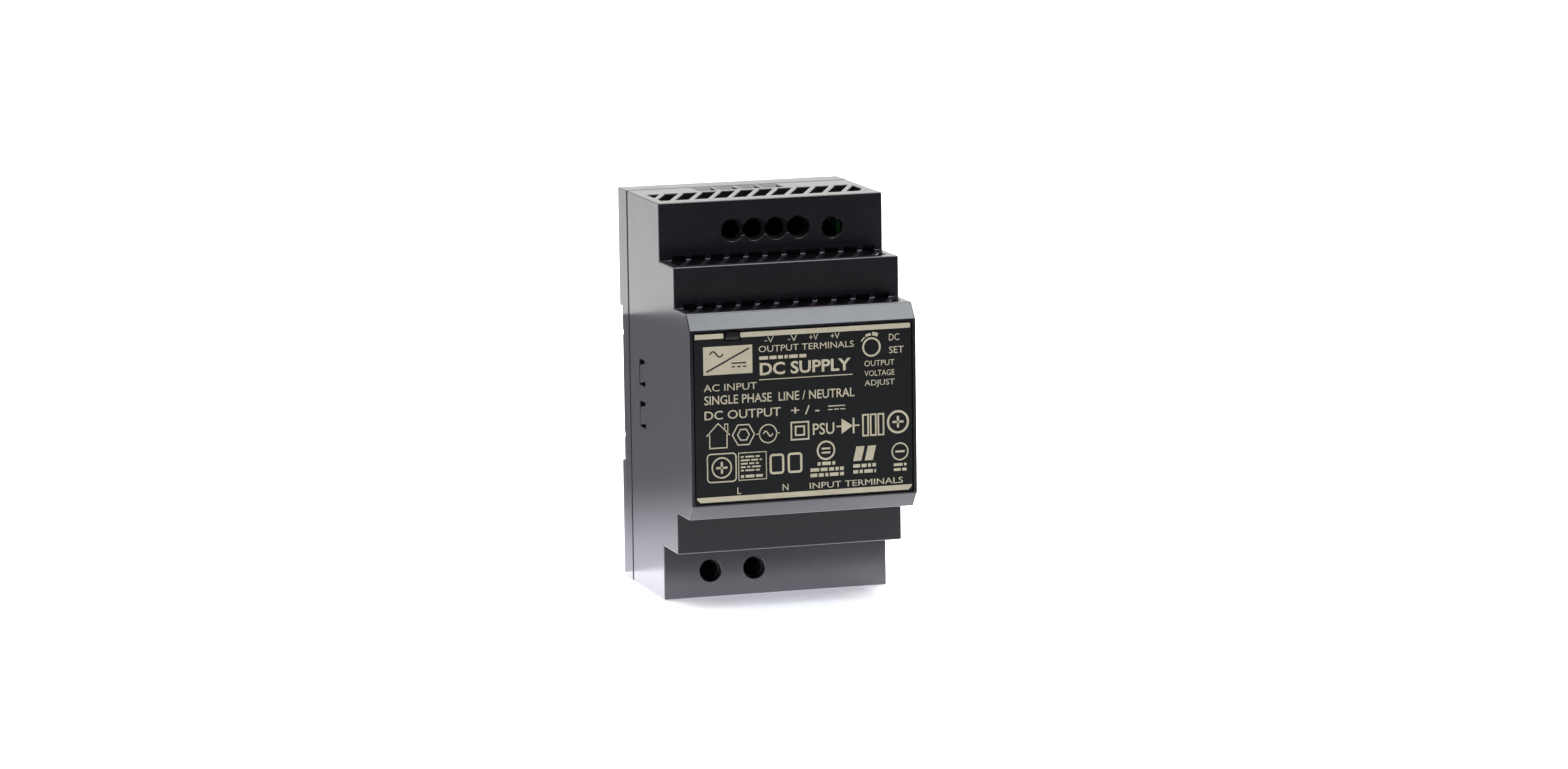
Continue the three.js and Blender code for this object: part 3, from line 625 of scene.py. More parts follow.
def plastic(
    name, code, roughness, grain=0.22, depth=0.006, spread=0.08, variation=0.1, specks=True
):
    """Moulded plastic: a fine spark-eroded grain, slow mottling and a few pale specks of dust."""
    paint = Paint(name)
    base = srgb(code)
    fine = paint.noise(grain, 3.0, 0.6)
    slow = paint.noise(9.0, 3.0, 0.55, warp=0.4)
    tint = paint.mottled(slow, base, 1 - variation, 1 + variation)
    tint = paint.blend(paint.ranged(fine, 0.35, 0.75), tint, shaded(base, 1 + 1.5 * variation))
    if specks:
        dust = paint.cells(2.6)
        tint = paint.blend(paint.ranged(dust, 0.035, 0.02), tint, shaded(base, 3.2))
    rough = paint.combine(
        "ADD",
        paint.ranged(slow, 0.3, 0.7, roughness - spread, roughness + spread),
        paint.ranged(fine, 0.3, 0.7, -0.03, 0.03),
    )
    height = paint.combine("ADD", fine, paint.combine("MULTIPLY", slow, 0.8))
    return paint.finish(tint, rough, height, depth)


def metal(name, code, roughness, stretch=(1.0, 1.0, 1.0), size=0.25):
    """Plated or milled metal, with fine tool marks and a slow stain."""
    paint = Paint(name, metallic=1.0)
    base = srgb(code)
    marks = paint.noise(size, 4.0, 0.65, stretch)
    slow = paint.noise(2.4, 3.0, 0.6, warp=0.8)
    tint = paint.blend(paint.ranged(slow, 0.3, 0.75), base, shaded(base, 0.75))
    tint = paint.blend(paint.ranged(marks, 0.45, 0.8), tint, shaded(base, 0.75))
    rough = paint.combine(
        "ADD",
        paint.ranged(slow, 0.3, 0.7, roughness - 0.07, roughness + 0.12),
        paint.ranged(marks, 0.3, 0.7, -0.05, 0.05),
    )
    return paint.finish(tint, rough, marks, 0.004)


def printed(name, code):
    """Screen-printed ink: a slow drift in colour and a faint mesh pattern."""
    paint = Paint(name)
    base = srgb(code)
    slow = paint.noise(7.0, 2.0, 0.5)
    mesh = paint.cells(0.16, metric="CHEBYCHEV")
    tint = paint.mottled(slow, base, 0.9, 1.1)
    tint = paint.blend(paint.ranged(mesh, 0.3, 0.9), tint, shaded(base, 0.86))
    rough = paint.ranged(slow, 0.3, 0.7, 0.42, 0.55)
    return paint.finish(tint, rough, mesh, 0.003)


def label_film():
    """Dark polyester film: a slight orange peel under a satin lacquer."""
    paint = Paint("label_film")
    preset(paint.shader, {"Specular IOR Level": 0.28})
    base = srgb("17181a")
    slow = paint.noise(12.0, 2.0, 0.5)
    peel = paint.noise(0.45, 2.0, 0.5)
    tint = paint.mottled(slow, base, 0.9, 1.12)
    tint = paint.blend(paint.ranged(peel, 0.4, 0.8), tint, shaded(base, 1.2))
    rough = paint.ranged(peel, 0.3, 0.7, 0.34, 0.46)
    return paint.finish(tint, rough, peel, 0.006)


def circuit_board():
    """Green solder mask over copper tracks, with small solder-plated pads."""
    paint = Paint("board", coat=0.4, coat_roughness=0.15)
    tracks = paint.cells(3.2, feature="DISTANCE_TO_EDGE")
    lanes = paint.cells(2.2, metric="MANHATTAN")
    pads = paint.cells(2.9)
    slow = paint.noise(6.0)
    mask = paint.blend(paint.ranged(slow, 0.3, 0.7), srgb("1f5a33"), srgb("2b6e40"))
    mask = paint.blend(paint.ranged(lanes, 0.5, 0.56), mask, srgb("3a8450"))
    mask = paint.blend(paint.ranged(tracks, 0.1, 0.06), mask, srgb("17452a"))
    mask = paint.blend(paint.ranged(pads, 0.16, 0.12), mask, srgb("b9bcb6"))
    rough = paint.ranged(slow, 0.3, 0.7, 0.3, 0.42)
    return paint.finish(mask, rough, paint.ranged(tracks, 0.05, 0.12), 0.03)


def wound(name, code, pitch, axis, metallic=1.0):
    """Wire or tape laid turn beside turn."""
    paint = Paint(name, metallic=metallic, coat=0.5, coat_roughness=0.2)
    base = srgb(code)
    turns = paint.waves(pitch, axis, 0.15)
    slow = paint.noise(1.8, 3.0)
    tint = paint.mottled(slow, base, 0.8, 1.0)
    tint = paint.blend(paint.ranged(turns, 0.0, 0.35, 1.0, 0.0), tint, shaded(base, 0.35))
    rough = paint.ranged(slow, 0.3, 0.7, 0.26, 0.42)
    return paint.finish(tint, rough, turns, 0.1)


def sleeve():
    """Shrink sleeve on a can, with a pale polarity stripe band and soft wrinkles."""
    paint = Paint("can_sleeve", coat=0.3, coat_roughness=0.2)
    base = srgb("20242c")
    wrinkles = paint.noise(1.4, 3.0, 0.55, stretch=(1.0, 0.25, 1.0))
    marks = paint.cells(5.0, metric="CHEBYCHEV", stretch=(0.2, 1.0, 0.6))
    tint = paint.mottled(wrinkles, base, 0.8, 1.3)
    tint = paint.blend(paint.ranged(marks, 0.16, 0.12), tint, srgb("a9adb2"))
    rough = paint.ranged(wrinkles, 0.3, 0.7, 0.3, 0.45)
    return paint.finish(tint, rough, wrinkles, 0.05)


def sintered():
    """Ferrite: a dark sintered body with ground faces, and pale dots painted at its grains as
    sparkle: painted glints.
    """
    paint = Paint("ferrite")
    base = srgb("2c2d30")
    grain = paint.cells(0.3)
    slow = paint.noise(4.0, 4.0)
    ground = paint.noise(0.3, 3.0, 0.6, stretch=(1.0, 8.0, 1.0))
    tint = paint.mottled(slow, base, 0.8, 1.25)
    # Pale dots at the grains' centres: painted glints standing in for sparkle.
    tint = paint.blend(paint.ranged(grain, 0.12, 0.0), tint, srgb("6b6d72"))
    rough = paint.ranged(ground, 0.3, 0.7, 0.45, 0.65)
    return paint.finish(tint, rough, paint.combine("ADD", grain, ground), 0.02)


def film_sheet():
    """Cream insulating film with a soft cockle."""
    paint = Paint("insulating_film")
    base = srgb("e0dac2")
    cockle = paint.noise(14.0, 2.0, 0.5, warp=0.5)
    fibres = paint.noise(0.5, 4.0, 0.6, stretch=(1.0, 1.0, 0.15))
    tint = paint.mottled(fibres, base, 0.9, 1.0)
    rough = paint.ranged(fibres, 0.3, 0.7, 0.45, 0.6)
    return paint.finish(tint, rough, paint.combine("ADD", cockle, fibres), 0.04)


def clear_lens(name, code):
    """Tinted clear plastic with tiny bubbles and a polished face."""
    paint = Paint(name, ior=1.49, coat=0.6, coat_roughness=0.06)
    base = srgb(code)
    haze = paint.noise(0.8, 3.0, 0.5)
    bubbles = paint.cells(0.5)
    tint = paint.mottled(haze, base, 0.7, 1.25)
    tint = paint.blend(paint.ranged(bubbles, 0.1, 0.04), tint, shaded(base, 1.8))
    rough = paint.ranged(haze, 0.3, 0.7, 0.12, 0.24)
    return paint.finish(tint, rough, haze, 0.004)


def dipped(name, code):
    """Epoxy or conformal coating that ran a little before it set."""
    paint = Paint(name, coat=0.5, coat_roughness=0.12)
    base = srgb(code)
    runs = paint.noise(1.2, 3.0, 0.5, stretch=(1.0, 0.5, 1.0))
    pits = paint.cells(0.7)
    tint = paint.mottled(runs, base, 0.8, 1.15)
    tint = paint.blend(paint.ranged(pits, 0.1, 0.05), tint, shaded(base, 0.5))
    rough = paint.ranged(runs, 0.3, 0.7, 0.3, 0.45)
    return paint.finish(tint, rough, runs, 0.06)


LOOKS = {
    "case_plastic": plastic(
        "case_plastic", "201d23", 0.235, depth=0.003, spread=0.015, variation=0.05
    ),
    "latch_plastic": plastic("latch_plastic", "1e1f24", 0.34, spread=0.03, variation=0.06),
    "label_film": label_film(),
    "lens": clear_lens("lens", "1d191b"),
    # The terminal blocks are coloured near black, darker than their own grey plastic: painted
    # shade behind the screwdriver holes.
    "terminal_plastic": plastic("terminal_plastic", "0a0a0c", 0.6, grain=0.3),
    "plated_steel": metal("plated_steel", "b4b6ba", 0.3),
    "spring_steel": metal("spring_steel", "8f9194", 0.28, stretch=(1.0, 1.0, 3.0)),
    "contact_brass": metal("contact_brass", "c4b183", 0.3),
    "board": circuit_board(),
    "insulating_film": film_sheet(),
    "ferrite": sintered(),
    "bobbin_plastic": plastic("bobbin_plastic", "1b1b1e", 0.4),
    "winding_tape": wound("winding_tape", "cdb43c", 2.4, "Y", metallic=0.0),
    "can_sleeve": sleeve(),
    "copper_wire": wound("copper_wire", "a8552f", 0.6, "Y"),
    "yellow_box": plastic("yellow_box", "c9a62c", 0.38, variation=0.05),
    "blue_coating": dipped("blue_coating", "24578f"),
    "green_coating": dipped("green_coating", "2f6341"),
    "device_epoxy": plastic("device_epoxy", "232325", 0.5, grain=0.15, specks=False),
    "heatsink_aluminium": metal(
        "heatsink_aluminium", "aeb1b4", 0.36, stretch=(1.0, 0.12, 1.0), size=0.18
    ),
    "nylon": plastic("nylon", "dcd9cf", 0.42, variation=0.04, specks=False),
    "green_lens": clear_lens("green_lens", "6fb56c"),
    "blue_plastic": plastic("blue_plastic", "15233c", 0.38),
    "grey_plastic": plastic("grey_plastic", "303236", 0.4, grain=0.12, specks=False),
    "white_plastic": plastic("white_plastic", "dedbd2", 0.4, variation=0.04, specks=False),
}
INK = printed("label_ink", "dcd2b8")
DARK_INK = printed("label_dark_ink", "191a1c")


# ------ the label's printing

CAP_SHARE = 0.7  # height of a capital letter over the size of the built-in font


class Print:
    """Thin raised printing on the label, drawn as seen from the front."""

    def __init__(self, back, front):
        self.bm = bmesh.new()
        self.back, self.front = back, front

    def fill(self, outline):
        loft(self.bm, [[(x, y, z) for x, z in outline] for y in (self.back, self.front)])

    def box(self, xs, zs):
        self.fill(box_outline(xs, zs))

    def band(self, points, width, closed=False):
        """A line of constant width with mitred corners."""
        count = len(points)
        pairs = []
        for i, point in enumerate(points):
            here = Vector(point)
            ahead = Vector(points[(i + 1) % count]) - here if closed or i + 1 < count else None
            behind = here - Vector(points[i - 1]) if closed or i else None
            forward = (ahead or behind).normalized()
            backward = (behind or ahead).normalized()
            side_a, side_b = Vector((-forward.y, forward.x)), Vector((-backward.y, backward.x))
            reach = (side_a + side_b) * (width / 2 / (1 + side_a.dot(side_b)))
            pairs.append((here + reach, here - reach))
        if closed:
            self.tube([[*pair] for pair in pairs])
        else:
            self.fill([tuple(p[0]) for p in pairs] + [tuple(p[1]) for p in reversed(pairs)])

    def tube(self, pairs):
        """A closed band from pairs of left and right points."""
        rows = []
        for left, right in pairs:
            rows.append([
                self.bm.verts.new((p.x, y, p.y)) for p, y in
                ((left, self.back), (left, self.front), (right, self.front), (right, self.back))
            ])
        for i, row in enumerate(rows):
            after = rows[(i + 1) % len(rows)]
            for j in range(4):
                k = (j + 1) % 4
                self.bm.faces.new((row[j], row[k], after[k], after[j]))

    def ring(self, x, z, radius, width, count=40):
        self.band(circle(x, z, radius, count), width, closed=True)

    def arc(self, x, z, radius, width, start, end, count):
        angles = [math.radians(start + (end - start) * i / count) for i in range(count + 1)]
        self.band([(x + radius * math.cos(a), z + radius * math.sin(a)) for a in angles], width)

    def frame(self, xs, zs, width, corner=0.0):
        outline = box_outline(xs, zs)
        self.band(rounded(outline, corner) if corner else outline, width, closed=True)

    def words(self, text, left, base, height, right=None, weight=0.0):
        """Plain lettering from its left end and baseline, stretched to end at right if given."""
        curve = bpy.data.curves.new("words", "FONT")
        curve.body = text
        curve.size = height / CAP_SHARE
        curve.resolution_u = 3
        curve.offset = weight
        curve.extrude = abs(self.back - self.front) / 2
        maker = bpy.data.objects.new("words", curve)
        SCENE.collection.objects.link(maker)
        bpy.context.view_layer.update()
        depsgraph = bpy.context.evaluated_depsgraph_get()
        mesh = bpy.data.meshes.new_from_object(maker.evaluated_get(depsgraph))
        bpy.data.objects.remove(maker)
        low = min(v.co.x for v in mesh.vertices)
        high = max(v.co.x for v in mesh.vertices)
        stretch = (right - left) / (high - low) if right is not None else 1.0
        middle = (self.back + self.front) / 2
        for vertex in mesh.vertices:
            x, z, y = vertex.co
            vertex.co = (left + (x - low) * stretch, middle - y, base + z)
        letters = bmesh.new()
        letters.from_mesh(mesh)
        bmesh.ops.remove_doubles(letters, verts=letters.verts, dist=0.002)
        letters.to_mesh(mesh)
        letters.free()
        self.bm.from_mesh(mesh)
        bpy.data.meshes.remove(mesh)

    def small_line(self, left, right, z, height, seed=1):
        """A line of print too small to read, as a row of short bars."""
        x, n = left, seed
        while x < right - 0.3:
            length = 0.7 + 0.45 * ((n * 7) % 4)
            self.box((x, min(x + length, right)), (z - height / 2, z + height / 2))
            x += length + 0.35
            n += 1


def label_marks(ink):
    """Everything printed in the pale ink."""
    ink.box((-25.0, -18.4), (17.4, 18.5))
    ink.fill(rounded(box_outline((-14.5, 25.0), (17.4, 18.5)), 0.3))
    ink.fill([
        (-24.2, -18.5), (24.2, -18.5), (25.0, -17.7),
        (25.0, -17.35), (-25.0, -17.35), (-25.0, -17.7),
    ])
    for text, x in (("-V", -8.9), ("-V", -3.5), ("+V", 1.4), ("+V", 6.4)):
        ink.words(text, x, 15.9, 1.35, right=x + 2.1)
    ink.words("OUTPUT TERMINALS", -10.3, 13.9, 1.4, right=11.8)
    ink.small_line(-10.2, 1.2, 12.6, 0.75)
    ink.words("DC SUPPLY", -10.1, 8.9, 2.6, right=11.0, weight=0.09)
    ink.box((-10.3, 11.4), (7.75, 7.95))
    ink.box((-23.1, -11.8), (9.5, 15.7))

    ink.ring(15.9, 13.6, 1.95, 0.42)
    for start, width in ((150, 0.3), (118, 0.55), (86, 0.8)):
        ink.arc(15.9, 13.6, 2.75 + width / 2 - 0.2, width, start, start - 26, 5)
    ink.words("DC", 20.0, 14.8, 1.5, right=22.4)
    ink.words("SET", 20.0, 12.0, 1.5, right=23.4)
    for n, z in enumerate((9.4, 7.2, 5.1)):
        ink.words(("OUTPUT", "VOLTAGE", "ADJUST")[n], 14.2, z, 1.25, right=21.2)

    ink.words("AC INPUT", -23.1, 5.9, 1.55, right=-10.8)
    ink.words("SINGLE PHASE  LINE / NEUTRAL", -23.0, 3.0, 1.95, right=11.8, weight=0.02)
    ink.words("DC OUTPUT", -23.0, -0.3, 1.9, right=-5.4, weight=0.02)
    ink.words("+ / -", -3.0, -0.3, 1.9, right=3.6, weight=0.02)
    ink.box((5.6, 9.6), (1.0, 1.22))
    for x in (5.6, 7.05, 8.5):
        ink.box((x, x + 1.1), (0.25, 0.47))

    line = 0.26
    ink.band([(-22.6, -3.9), (-19.9, -1.2), (-17.2, -3.9)], line)
    ink.band([(-21.9, -3.6), (-21.9, -6.6), (-17.9, -6.6), (-17.9, -3.6)], line)
    ink.band([(-18.4, -2.5), (-18.4, -1.4), (-17.7, -1.4), (-17.7, -3.1)], 0.22)
    for radius in (2.55, 1.35):
        ink.ring(-14.1, -4.0, radius, line, 6)
    ink.ring(-8.4, -4.1, 2.0, line)
    for start in (-11.1, -6.5):
        ink.box((start, start + 0.8), (-4.2, -3.98))
    ink.band([(-9.5 + 0.22 * i, -4.1 + 0.6 * math.sin(math.pi * i / 5)) for i in range(11)], 0.26)
    for half in (2.0, 1.0):
        ink.frame((-1.0 - half, -1.0 + half), (-3.9 - half * 0.95, -3.9 + half * 0.95), 0.34)
    ink.words("PSU", 2.0, -5.0, 2.5, right=7.0, weight=0.03)
    ink.fill([(8.7, -5.2), (11.3, -3.5), (8.7, -1.8)])
    ink.box((11.3, 11.7), (-5.2, -1.8))
    for start in (7.5, 11.7):
        ink.box((start, start + 1.2), (-3.65, -3.35))
    for x in (13.7, 15.5, 17.3):
        ink.frame((x, x + 1.2), (-5.9, -1.3), 0.36)
    ink.ring(21.9, -3.3, 2.35, 0.5)
    ink.box((20.6, 23.2), (-3.55, -3.05))
    ink.box((21.65, 22.15), (-4.6, -2.0))

    ink.frame((-22.5, -15.9), (-14.1, -7.9), 0.28, corner=0.8)
    ink.ring(-19.2, -11.0, 2.2, 0.34)
    ink.box((-20.5, -17.9), (-11.25, -10.75))
    ink.box((-19.45, -18.95), (-12.3, -9.7))
    ink.frame((-15.3, -8.9), (-14.0, -8.0), 0.18)
    for n in range(5):
        ink.small_line(-14.8, -10.4 + 0.5 * (n % 2), -8.9 - 0.75 * n, 0.36, seed=n)
    ink.small_line(-14.8, -9.4, -13.2, 0.6, seed=4)
    for x in (-7.9, -3.7):
        ink.frame((x, x + 2.9), (-12.9, -8.9), 0.5, corner=0.5)
    ink.ring(5.0, -8.6, 1.95, 0.42)
    ink.box((4.0, 6.0), (-9.3, -8.9))
    ink.box((4.0, 6.0), (-8.4, -8.0))
    for n, z in enumerate((-11.5, -12.8, -14.0)):
        ink.small_line(3.0 - 1.7 * (n > 0), 7.1 + 2.0 * (n > 0), z, 0.75, seed=n)
    ink.fill([(11.3, -11.4), (13.2, -11.4), (14.0, -8.2), (12.1, -8.2)])
    ink.fill([(14.0, -11.4), (15.9, -11.4), (16.7, -8.2), (14.8, -8.2)])
    for n, z in enumerate((-12.5, -13.8)):
        ink.small_line(11.3, 16.6, z, 0.75, seed=n + 2)
    ink.ring(22.3, -9.9, 1.85, 0.3)
    ink.box((21.2, 23.4), (-10.1, -9.7))
    for n, z in enumerate((-12.8, -13.9)):
        ink.small_line(20.8, 23.8, z, 0.6, seed=n + 1)
    ink.words("L", -15.7, -17.0, 1.5)
    ink.words("N", -5.2, -16.9, 1.5)
    ink.words("INPUT TERMINALS", 1.1, -16.9, 1.35, right=22.9)


def box_marks(ink):
    """The converter symbol in dark ink on the pale box."""
    ink.band([(-22.4, 10.2), (-12.5, 15.0)], 0.35)
    swing = [(-21.6 + 0.22 * i, 14.0 + 0.62 * math.sin(math.pi * i / 7)) for i in range(15)]
    ink.band(swing, 0.32)
    ink.box((-16.6, -13.2), (11.7, 12.0))
    for x in (-16.6, -15.3, -14.0):
        ink.box((x, x + 0.8), (10.9, 11.2))


def build_print(name, front, draw):
    """One ink's printing, lifted from the drawing's heights to those on the label."""
    sheet = Print(PRINT_BACK, front)
    draw(sheet)
    for vertex in sheet.bm.verts:
        vertex.co.z = vertex.co.z * PRINT_SCALE + PRINT_SHIFT
    return new_object(name, sheet.bm)


# ------ other pieces

def build_label():
    """The label's film, with a rolled edge and a notch for the light pipe."""
    bm = bmesh.new()
    outline = rounded(label_outline(), 0.35, 5)
    edge = 0.05
    grown = ((LABEL_FRONT + LABEL_THICK, 0.0), (LABEL_FRONT + edge, 0.0), (LABEL_FRONT, -edge))
    loft(bm, [[(x, y, z) for x, z in offset(outline, grow)] for y, grow in grown])
    label = new_object("rating_label_film", bm)
    hole = bmesh.new()
    depths = (LABEL_FRONT - 1, LABEL_FRONT + 1)
    loft(hole, [[(x, y, z) for x, z in lens_outline(GAP)] for y in depths])
    subtract(label, [new_object("hole", hole)])
    shade(label.data, 30)
    return label


def build_spring():
    """The latch's coil spring, as one round wire with its end turns closed up."""
    steps, sides = SPRING_TURNS * SPRING_STEPS, SPRING_SIDES
    up = Vector((0, 0, 1))
    rows = []
    bm = bmesh.new()
    height = SPRING_HIGH - SPRING_LOW - 2 * SPRING_WIRE
    for step in range(steps + 1):
        share = step / steps
        angle = 2 * math.pi * SPRING_TURNS * share
        rise = share + SPRING_CLOSING * math.sin(4 * math.pi * share)
        middle = Vector((
            SPRING_RADIUS * math.cos(angle),
            SPRING_Y + SPRING_RADIUS * math.sin(angle),
            SPRING_LOW + SPRING_WIRE + height * rise,
        ))
        outward = Vector((math.cos(angle), math.sin(angle), 0))
        row = []
        for side in range(sides):
            turn = 2 * math.pi * side / sides
            arm = math.cos(turn) * outward + math.sin(turn) * up
            row.append(bm.verts.new(middle + SPRING_WIRE * arm))
        rows.append(row)
    for row, after in zip(rows, rows[1:]):
        for i in range(sides):
            j = (i + 1) % sides
            bm.faces.new((row[i], row[j], after[j], after[i]))
    bm.faces.new(rows[0])
    bm.faces.new(rows[-1])
    return new_object("latch_spring_wire", bm, 60)


# Nodes whose CAD shape is kept and refined, with the width of their rounded edges.
REFINED = {
    "rear_cover": 0.18,
    "led_light_pipe": 0.12,
    "insulation_sheet": 0.06,
    "rail_latch": 0.22,
    "output_terminal_block": 0.2,
    "input_terminal_block": 0.2,
    "main_pcb": 0.1,
    "control_pcb": 0.1,
    "control_chip": 0.07,
    "trimmer_body": 0.15,
    "trimmer_rotor": 0.08,
    "optocoupler": 0.1,
    "status_led": 0.08,
    "led_spacer": 0.1,
    "transformer_core": 0.35,
    "transformer_bobbin": 0.15,
    "transformer_winding": 0.4,
    "bulk_capacitor": 0.15,
    "output_capacitor_1": 0.12,
    "output_capacitor_2": 0.12,
    "output_inductor": 0.12,
    "primary_switch": 0.15,
    "primary_heatsink": 0.12,
    "primary_heatsink_screw": 0.12,
    "output_rectifier": 0.15,
    "output_heatsink": 0.12,
    "output_heatsink_screw": 0.12,
    "bridge_rectifier": 0.2,
    "x_capacitor": 0.5,
    "y_capacitor": 0.7,
    "choke_core": 0.35,
    "choke_winding_left": 0.4,
    "choke_winding_right": 0.4,
    "fuse": 0.3,
    "thermistor": 0.8,
    "varistor": 0.8,
}
for bank, places in (("output", OUTPUTS), ("input", INPUTS)):
    for n in range(len(places)):
        REFINED[f"{bank}_screw_{n + 1}"] = 0.1
        REFINED[f"{bank}_clamp_{n + 1}"] = 0.14
        REFINED[f"{bank}_contact_{n + 1}"] = 0.08

SLOT_OF = {part["node"]: part["material_slot"] for part in frame["record"]["subparts"]}
BODIES = frame["record"]["behaviour"]["bodies"]
BODY_OF = {node: body for body, nodes in BODIES.items() for node in nodes}


def settle_node(obj, node, weighted=True):
    """Puts a piece in place of a CAD node, which gets the same material."""
    slot = SLOT_OF[node]
    settle(obj, LOOKS[slot], BODY_OF[node], (node,), weighted)
    NODES[node].data.materials.clear()
    NODES[node].data.materials.append(LOOKS[slot])
    return obj


settle_node(build_housing(), "front_housing")
settle_node(build_label(), "rating_label")
spring = settle_node(build_spring(), "latch_spring", weighted=False)
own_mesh(spring)
for node, width in REFINED.items():
    settle_node(refine(node, width), node)
pale_print = build_print("label_print", PRINT_FRONT, label_marks)
settle(pale_print, INK, "case", weighted=False)
dark_print = build_print("label_symbol", PRINT_FRONT - 0.02, box_marks)
settle(dark_print, DARK_INK, "case", weighted=False)


# ------ floor, light and camera

# Each ramp runs from a low and a high coordinate to the numbers that they stand for.
FLOOR_LEVEL = -0.0451  # just below the case's lower end
FLOOR_SEEN = 0.42  # glow of the floor as the camera sees it
FLOOR_FRONT = (-0.0615, -0.0545, 0.05, 3.0)  # in reflections: dim in front of the case
FLOOR_BACK = (0.03, 0.3, 1.0, 0.07)  # and falling off again behind it
FLOOR_PALE = 0.92  # its colour as the camera sees it
FLOOR_TONE = (-0.09, -0.05, 0.4, FLOOR_PALE)  # and in reflections: darker in front of the case, a painted shade seen only in the case's surfaces
CARD_X, CARD_Y, CARD_Z = (-0.075, -0.0265), 0.003, (-0.0445, 0.0155)
# The card's glow, bright at its foot and dim above it: a painted reflection, seen only in the
# case's left side.
CARD_FADE = (-0.0445, -0.022, 2.1, 0.36)
WORLD_BACK = (-0.3, 0.6, 0.02, 1.38)
WORLD_TOP = (0.35, 0.9, 0.0, 0.7)
STUDIO_GLOW = (0.9, 0.91, 1.0, 1.0)

CAMERA_AZIMUTH, CAMERA_ELEVATION, CAMERA_ROLL = -17.095, 8.8, -0.811  # degrees
CAMERA_AIM, CAMERA_DISTANCE = (0.004467, -0.025, 0.00146), 1.3729
CAMERA_SENSOR, CAMERA_LENS = 36.0, 139.175  # millimetres


def eased(nodes, links, value, steps):
    """A smooth ramp of a value."""
    node = nodes.new("ShaderNodeMapRange")
    node.interpolation_type = "SMOOTHSTEP"
    links.new(value, node.inputs["Value"])
    preset(node, ramp(*steps))
    return node.outputs["Result"]


def stage_plane(name, corners, color, roughness):
    """A flat piece of the studio through four corners, with its own material."""
    bm = bmesh.new()
    bm.faces.new([bm.verts.new(corner) for corner in corners])
    mesh = bpy.data.meshes.new(name)
    bm.to_mesh(mesh)
    bm.free()
    plane = bpy.data.objects.new(name, mesh)
    SCENE.collection.objects.link(plane)
    material = bpy.data.materials.new(name)
    material.use_nodes = True
    shader = material.node_tree.nodes["Principled BSDF"]
    preset(shader, {"Base Color": (*color, 1.0), "Emission Color": STUDIO_GLOW})
    preset(shader, {"Roughness": roughness, "Specular IOR Level": 0.2})
    mesh.materials.append(material)
    return plane, material.node_tree.nodes, material.node_tree.links


def object_axes(nodes, links):
    """The object's own coordinates, one output for each axis."""
    place = nodes.new("ShaderNodeTexCoord")
    axes = nodes.new("ShaderNodeSeparateXYZ")
    links.new(place.outputs["Object"], axes.inputs[0])
    return axes.outputs


def seen_or_reflected(nodes, links, seen, reflected):
    """One number for the camera, and another for everything else."""
    path = nodes.new("ShaderNodeLightPath")
    choice = nodes.new("ShaderNodeMapRange")
    choice.inputs["To Max"].default_value = seen
    links.new(path.outputs["Is Camera Ray"], choice.inputs["Value"])
    links.new(reflected, choice.inputs["To Min"])
    return choice.outputs["Result"]


def add_floor():
    """A floor that is plain and pale to the camera, with its own glow in reflections."""
    corners = [(x, y, FLOOR_LEVEL) for x, y in box_outline((-1.6, 1.8), (-0.4, 1.6))]
    _, nodes, links = stage_plane("floor", corners, (FLOOR_PALE,) * 3, 0.8)
    depth = object_axes(nodes, links)["Y"]
    reflected = nodes.new("ShaderNodeMath")
    reflected.operation = "MULTIPLY"
    links.new(eased(nodes, links, depth, FLOOR_FRONT), reflected.inputs[0])
    links.new(eased(nodes, links, depth, FLOOR_BACK), reflected.inputs[1])
    shader = nodes["Principled BSDF"]
    glow = seen_or_reflected(nodes, links, FLOOR_SEEN, reflected.outputs[0])
    links.new(glow, shader.inputs["Emission Strength"])
    # In reflections the floor's colour darkens in front of the case: painted shade.
    tone = eased(nodes, links, depth, FLOOR_TONE)
    links.new(seen_or_reflected(nodes, links, FLOOR_PALE, tone), shader.inputs["Base Color"])


def add_card():
    """A grey card behind the left side, seen only as a reflection in the case; it glows, brightest
    at its foot, as a painted reflection standing in for the rail.
    """
    corners = [(x, CARD_Y, z) for x, z in box_outline(CARD_X, CARD_Z)]
    card, nodes, links = stage_plane("card", corners, (0.04, 0.04, 0.04), 0.7)
    glow = eased(nodes, links, object_axes(nodes, links)["Z"], CARD_FADE)
    links.new(glow, nodes["Principled BSDF"].inputs["Emission Strength"])
    card.visible_camera = False
    card.visible_shadow = False
    card.visible_diffuse = False


def add_light(name, place, aim, size, radiance, color):
    """A soft rectangular light of a given radiance."""
    light = bpy.data.lights.new(name, "AREA")
    light.shape = "RECTANGLE"
    light.size, light.size_y = size
    light.energy = radiance * math.pi * size[0] * size[1]
    light.color = color
    obj = bpy.data.objects.new(name, light)
    obj.location = place
    obj.rotation_mode = "QUATERNION"
    obj.rotation_quaternion = (Vector(aim) - Vector(place)).to_track_quat("-Z", "Y")
    SCENE.collection.objects.link(obj)


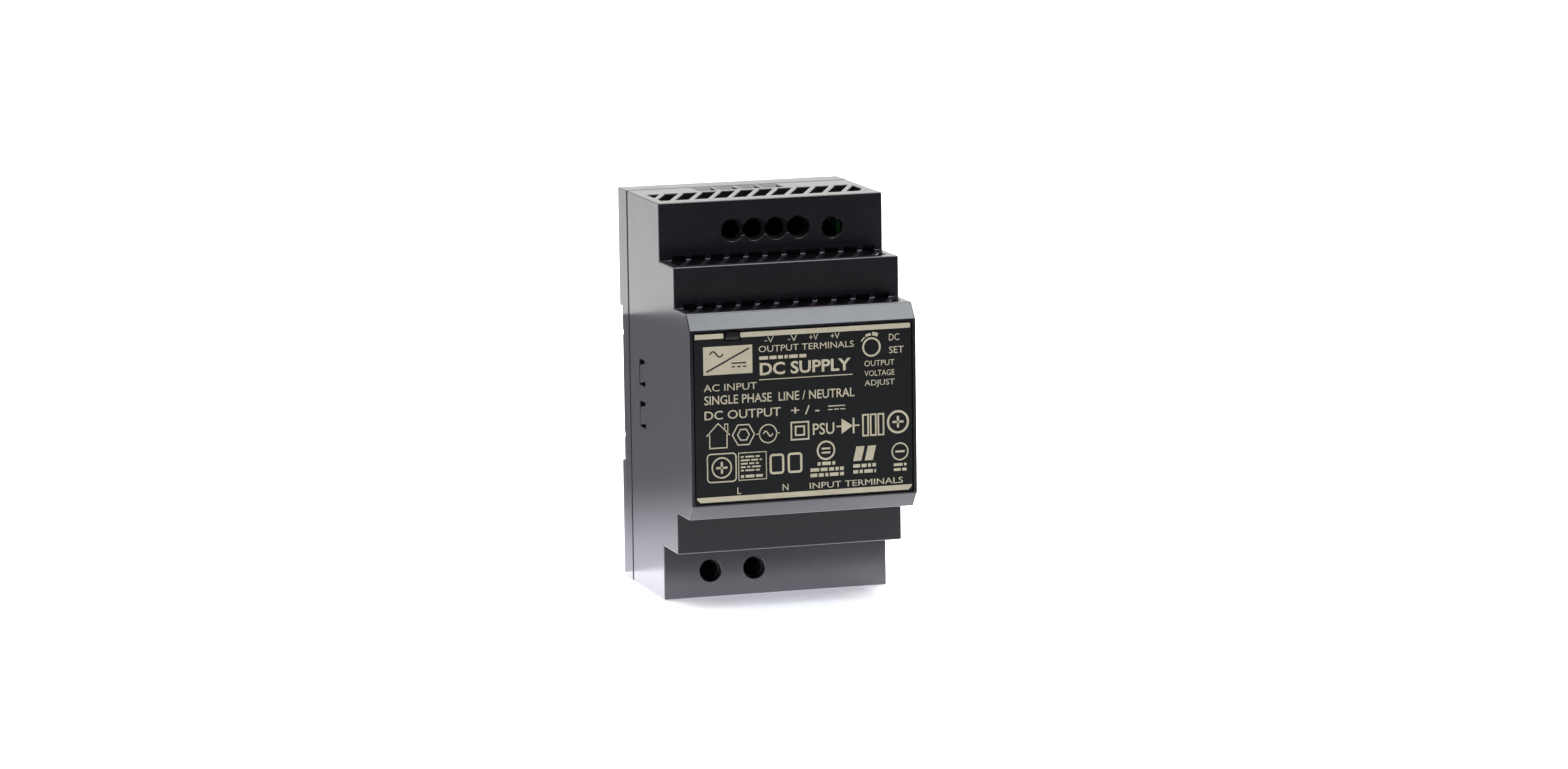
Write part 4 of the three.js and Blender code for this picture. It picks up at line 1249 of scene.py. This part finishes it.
def add_world():
    """White to the camera; for light and reflections, bright behind and above and dim in front."""
    world = bpy.data.worlds.new("studio")
    world.use_nodes = True
    nodes, links = world.node_tree.nodes, world.node_tree.links
    nodes.clear()
    place = nodes.new("ShaderNodeTexCoord")
    axes = nodes.new("ShaderNodeSeparateXYZ")
    links.new(place.outputs["Generated"], axes.inputs[0])
    total = nodes.new("ShaderNodeMath")
    total.operation = "ADD"
    links.new(eased(nodes, links, axes.outputs["Y"], WORLD_BACK), total.inputs[0])
    links.new(eased(nodes, links, axes.outputs["Z"], WORLD_TOP), total.inputs[1])
    soft = nodes.new("ShaderNodeBackground")
    soft.inputs["Color"].default_value = (1.0, 0.99, 0.955, 1.0)
    links.new(total.outputs[0], soft.inputs["Strength"])
    white = nodes.new("ShaderNodeBackground")
    white.inputs["Color"].default_value = (1.0, 1.0, 1.0, 1.0)
    path = nodes.new("ShaderNodeLightPath")
    mix = nodes.new("ShaderNodeMixShader")
    links.new(path.outputs["Is Camera Ray"], mix.inputs[0])
    links.new(soft.outputs[0], mix.inputs[1])
    links.new(white.outputs[0], mix.inputs[2])
    output = nodes.new("ShaderNodeOutputWorld")
    links.new(mix.outputs[0], output.inputs["Surface"])
    SCENE.world = world


def add_camera():
    azimuth, elevation = math.radians(CAMERA_AZIMUTH), math.radians(CAMERA_ELEVATION)
    roll = Quaternion((0, 0, 1), math.radians(CAMERA_ROLL))
    back = Vector((
        math.sin(azimuth) * math.cos(elevation),
        -math.cos(azimuth) * math.cos(elevation),
        math.sin(elevation),
    ))
    data = bpy.data.cameras.new("camera")
    data.sensor_width = CAMERA_SENSOR
    data.lens = CAMERA_LENS
    camera = bpy.data.objects.new("camera", data)
    camera.location = Vector(CAMERA_AIM) + CAMERA_DISTANCE * back
    camera.rotation_mode = "QUATERNION"
    camera.rotation_quaternion = (-back).to_track_quat("-Z", "Y") @ roll
    SCENE.collection.objects.link(camera)
    SCENE.camera = camera


add_floor()
add_card()
add_world()
add_light(
    "overhead", place=(0.0, 0.35, 1.1), aim=(0, 0, 0), size=(1.2, 1.0),
    radiance=3.6, color=(1.0, 1.0, 1.0),
)
add_light(
    "front_strip", place=(0.18, -0.30, 0.52), aim=(0, -0.05, 0.02), size=(0.34, 0.2),
    radiance=9.5, color=(0.88, 0.94, 1.0),
)
add_camera()
SCENE.view_settings.view_transform = "Standard"
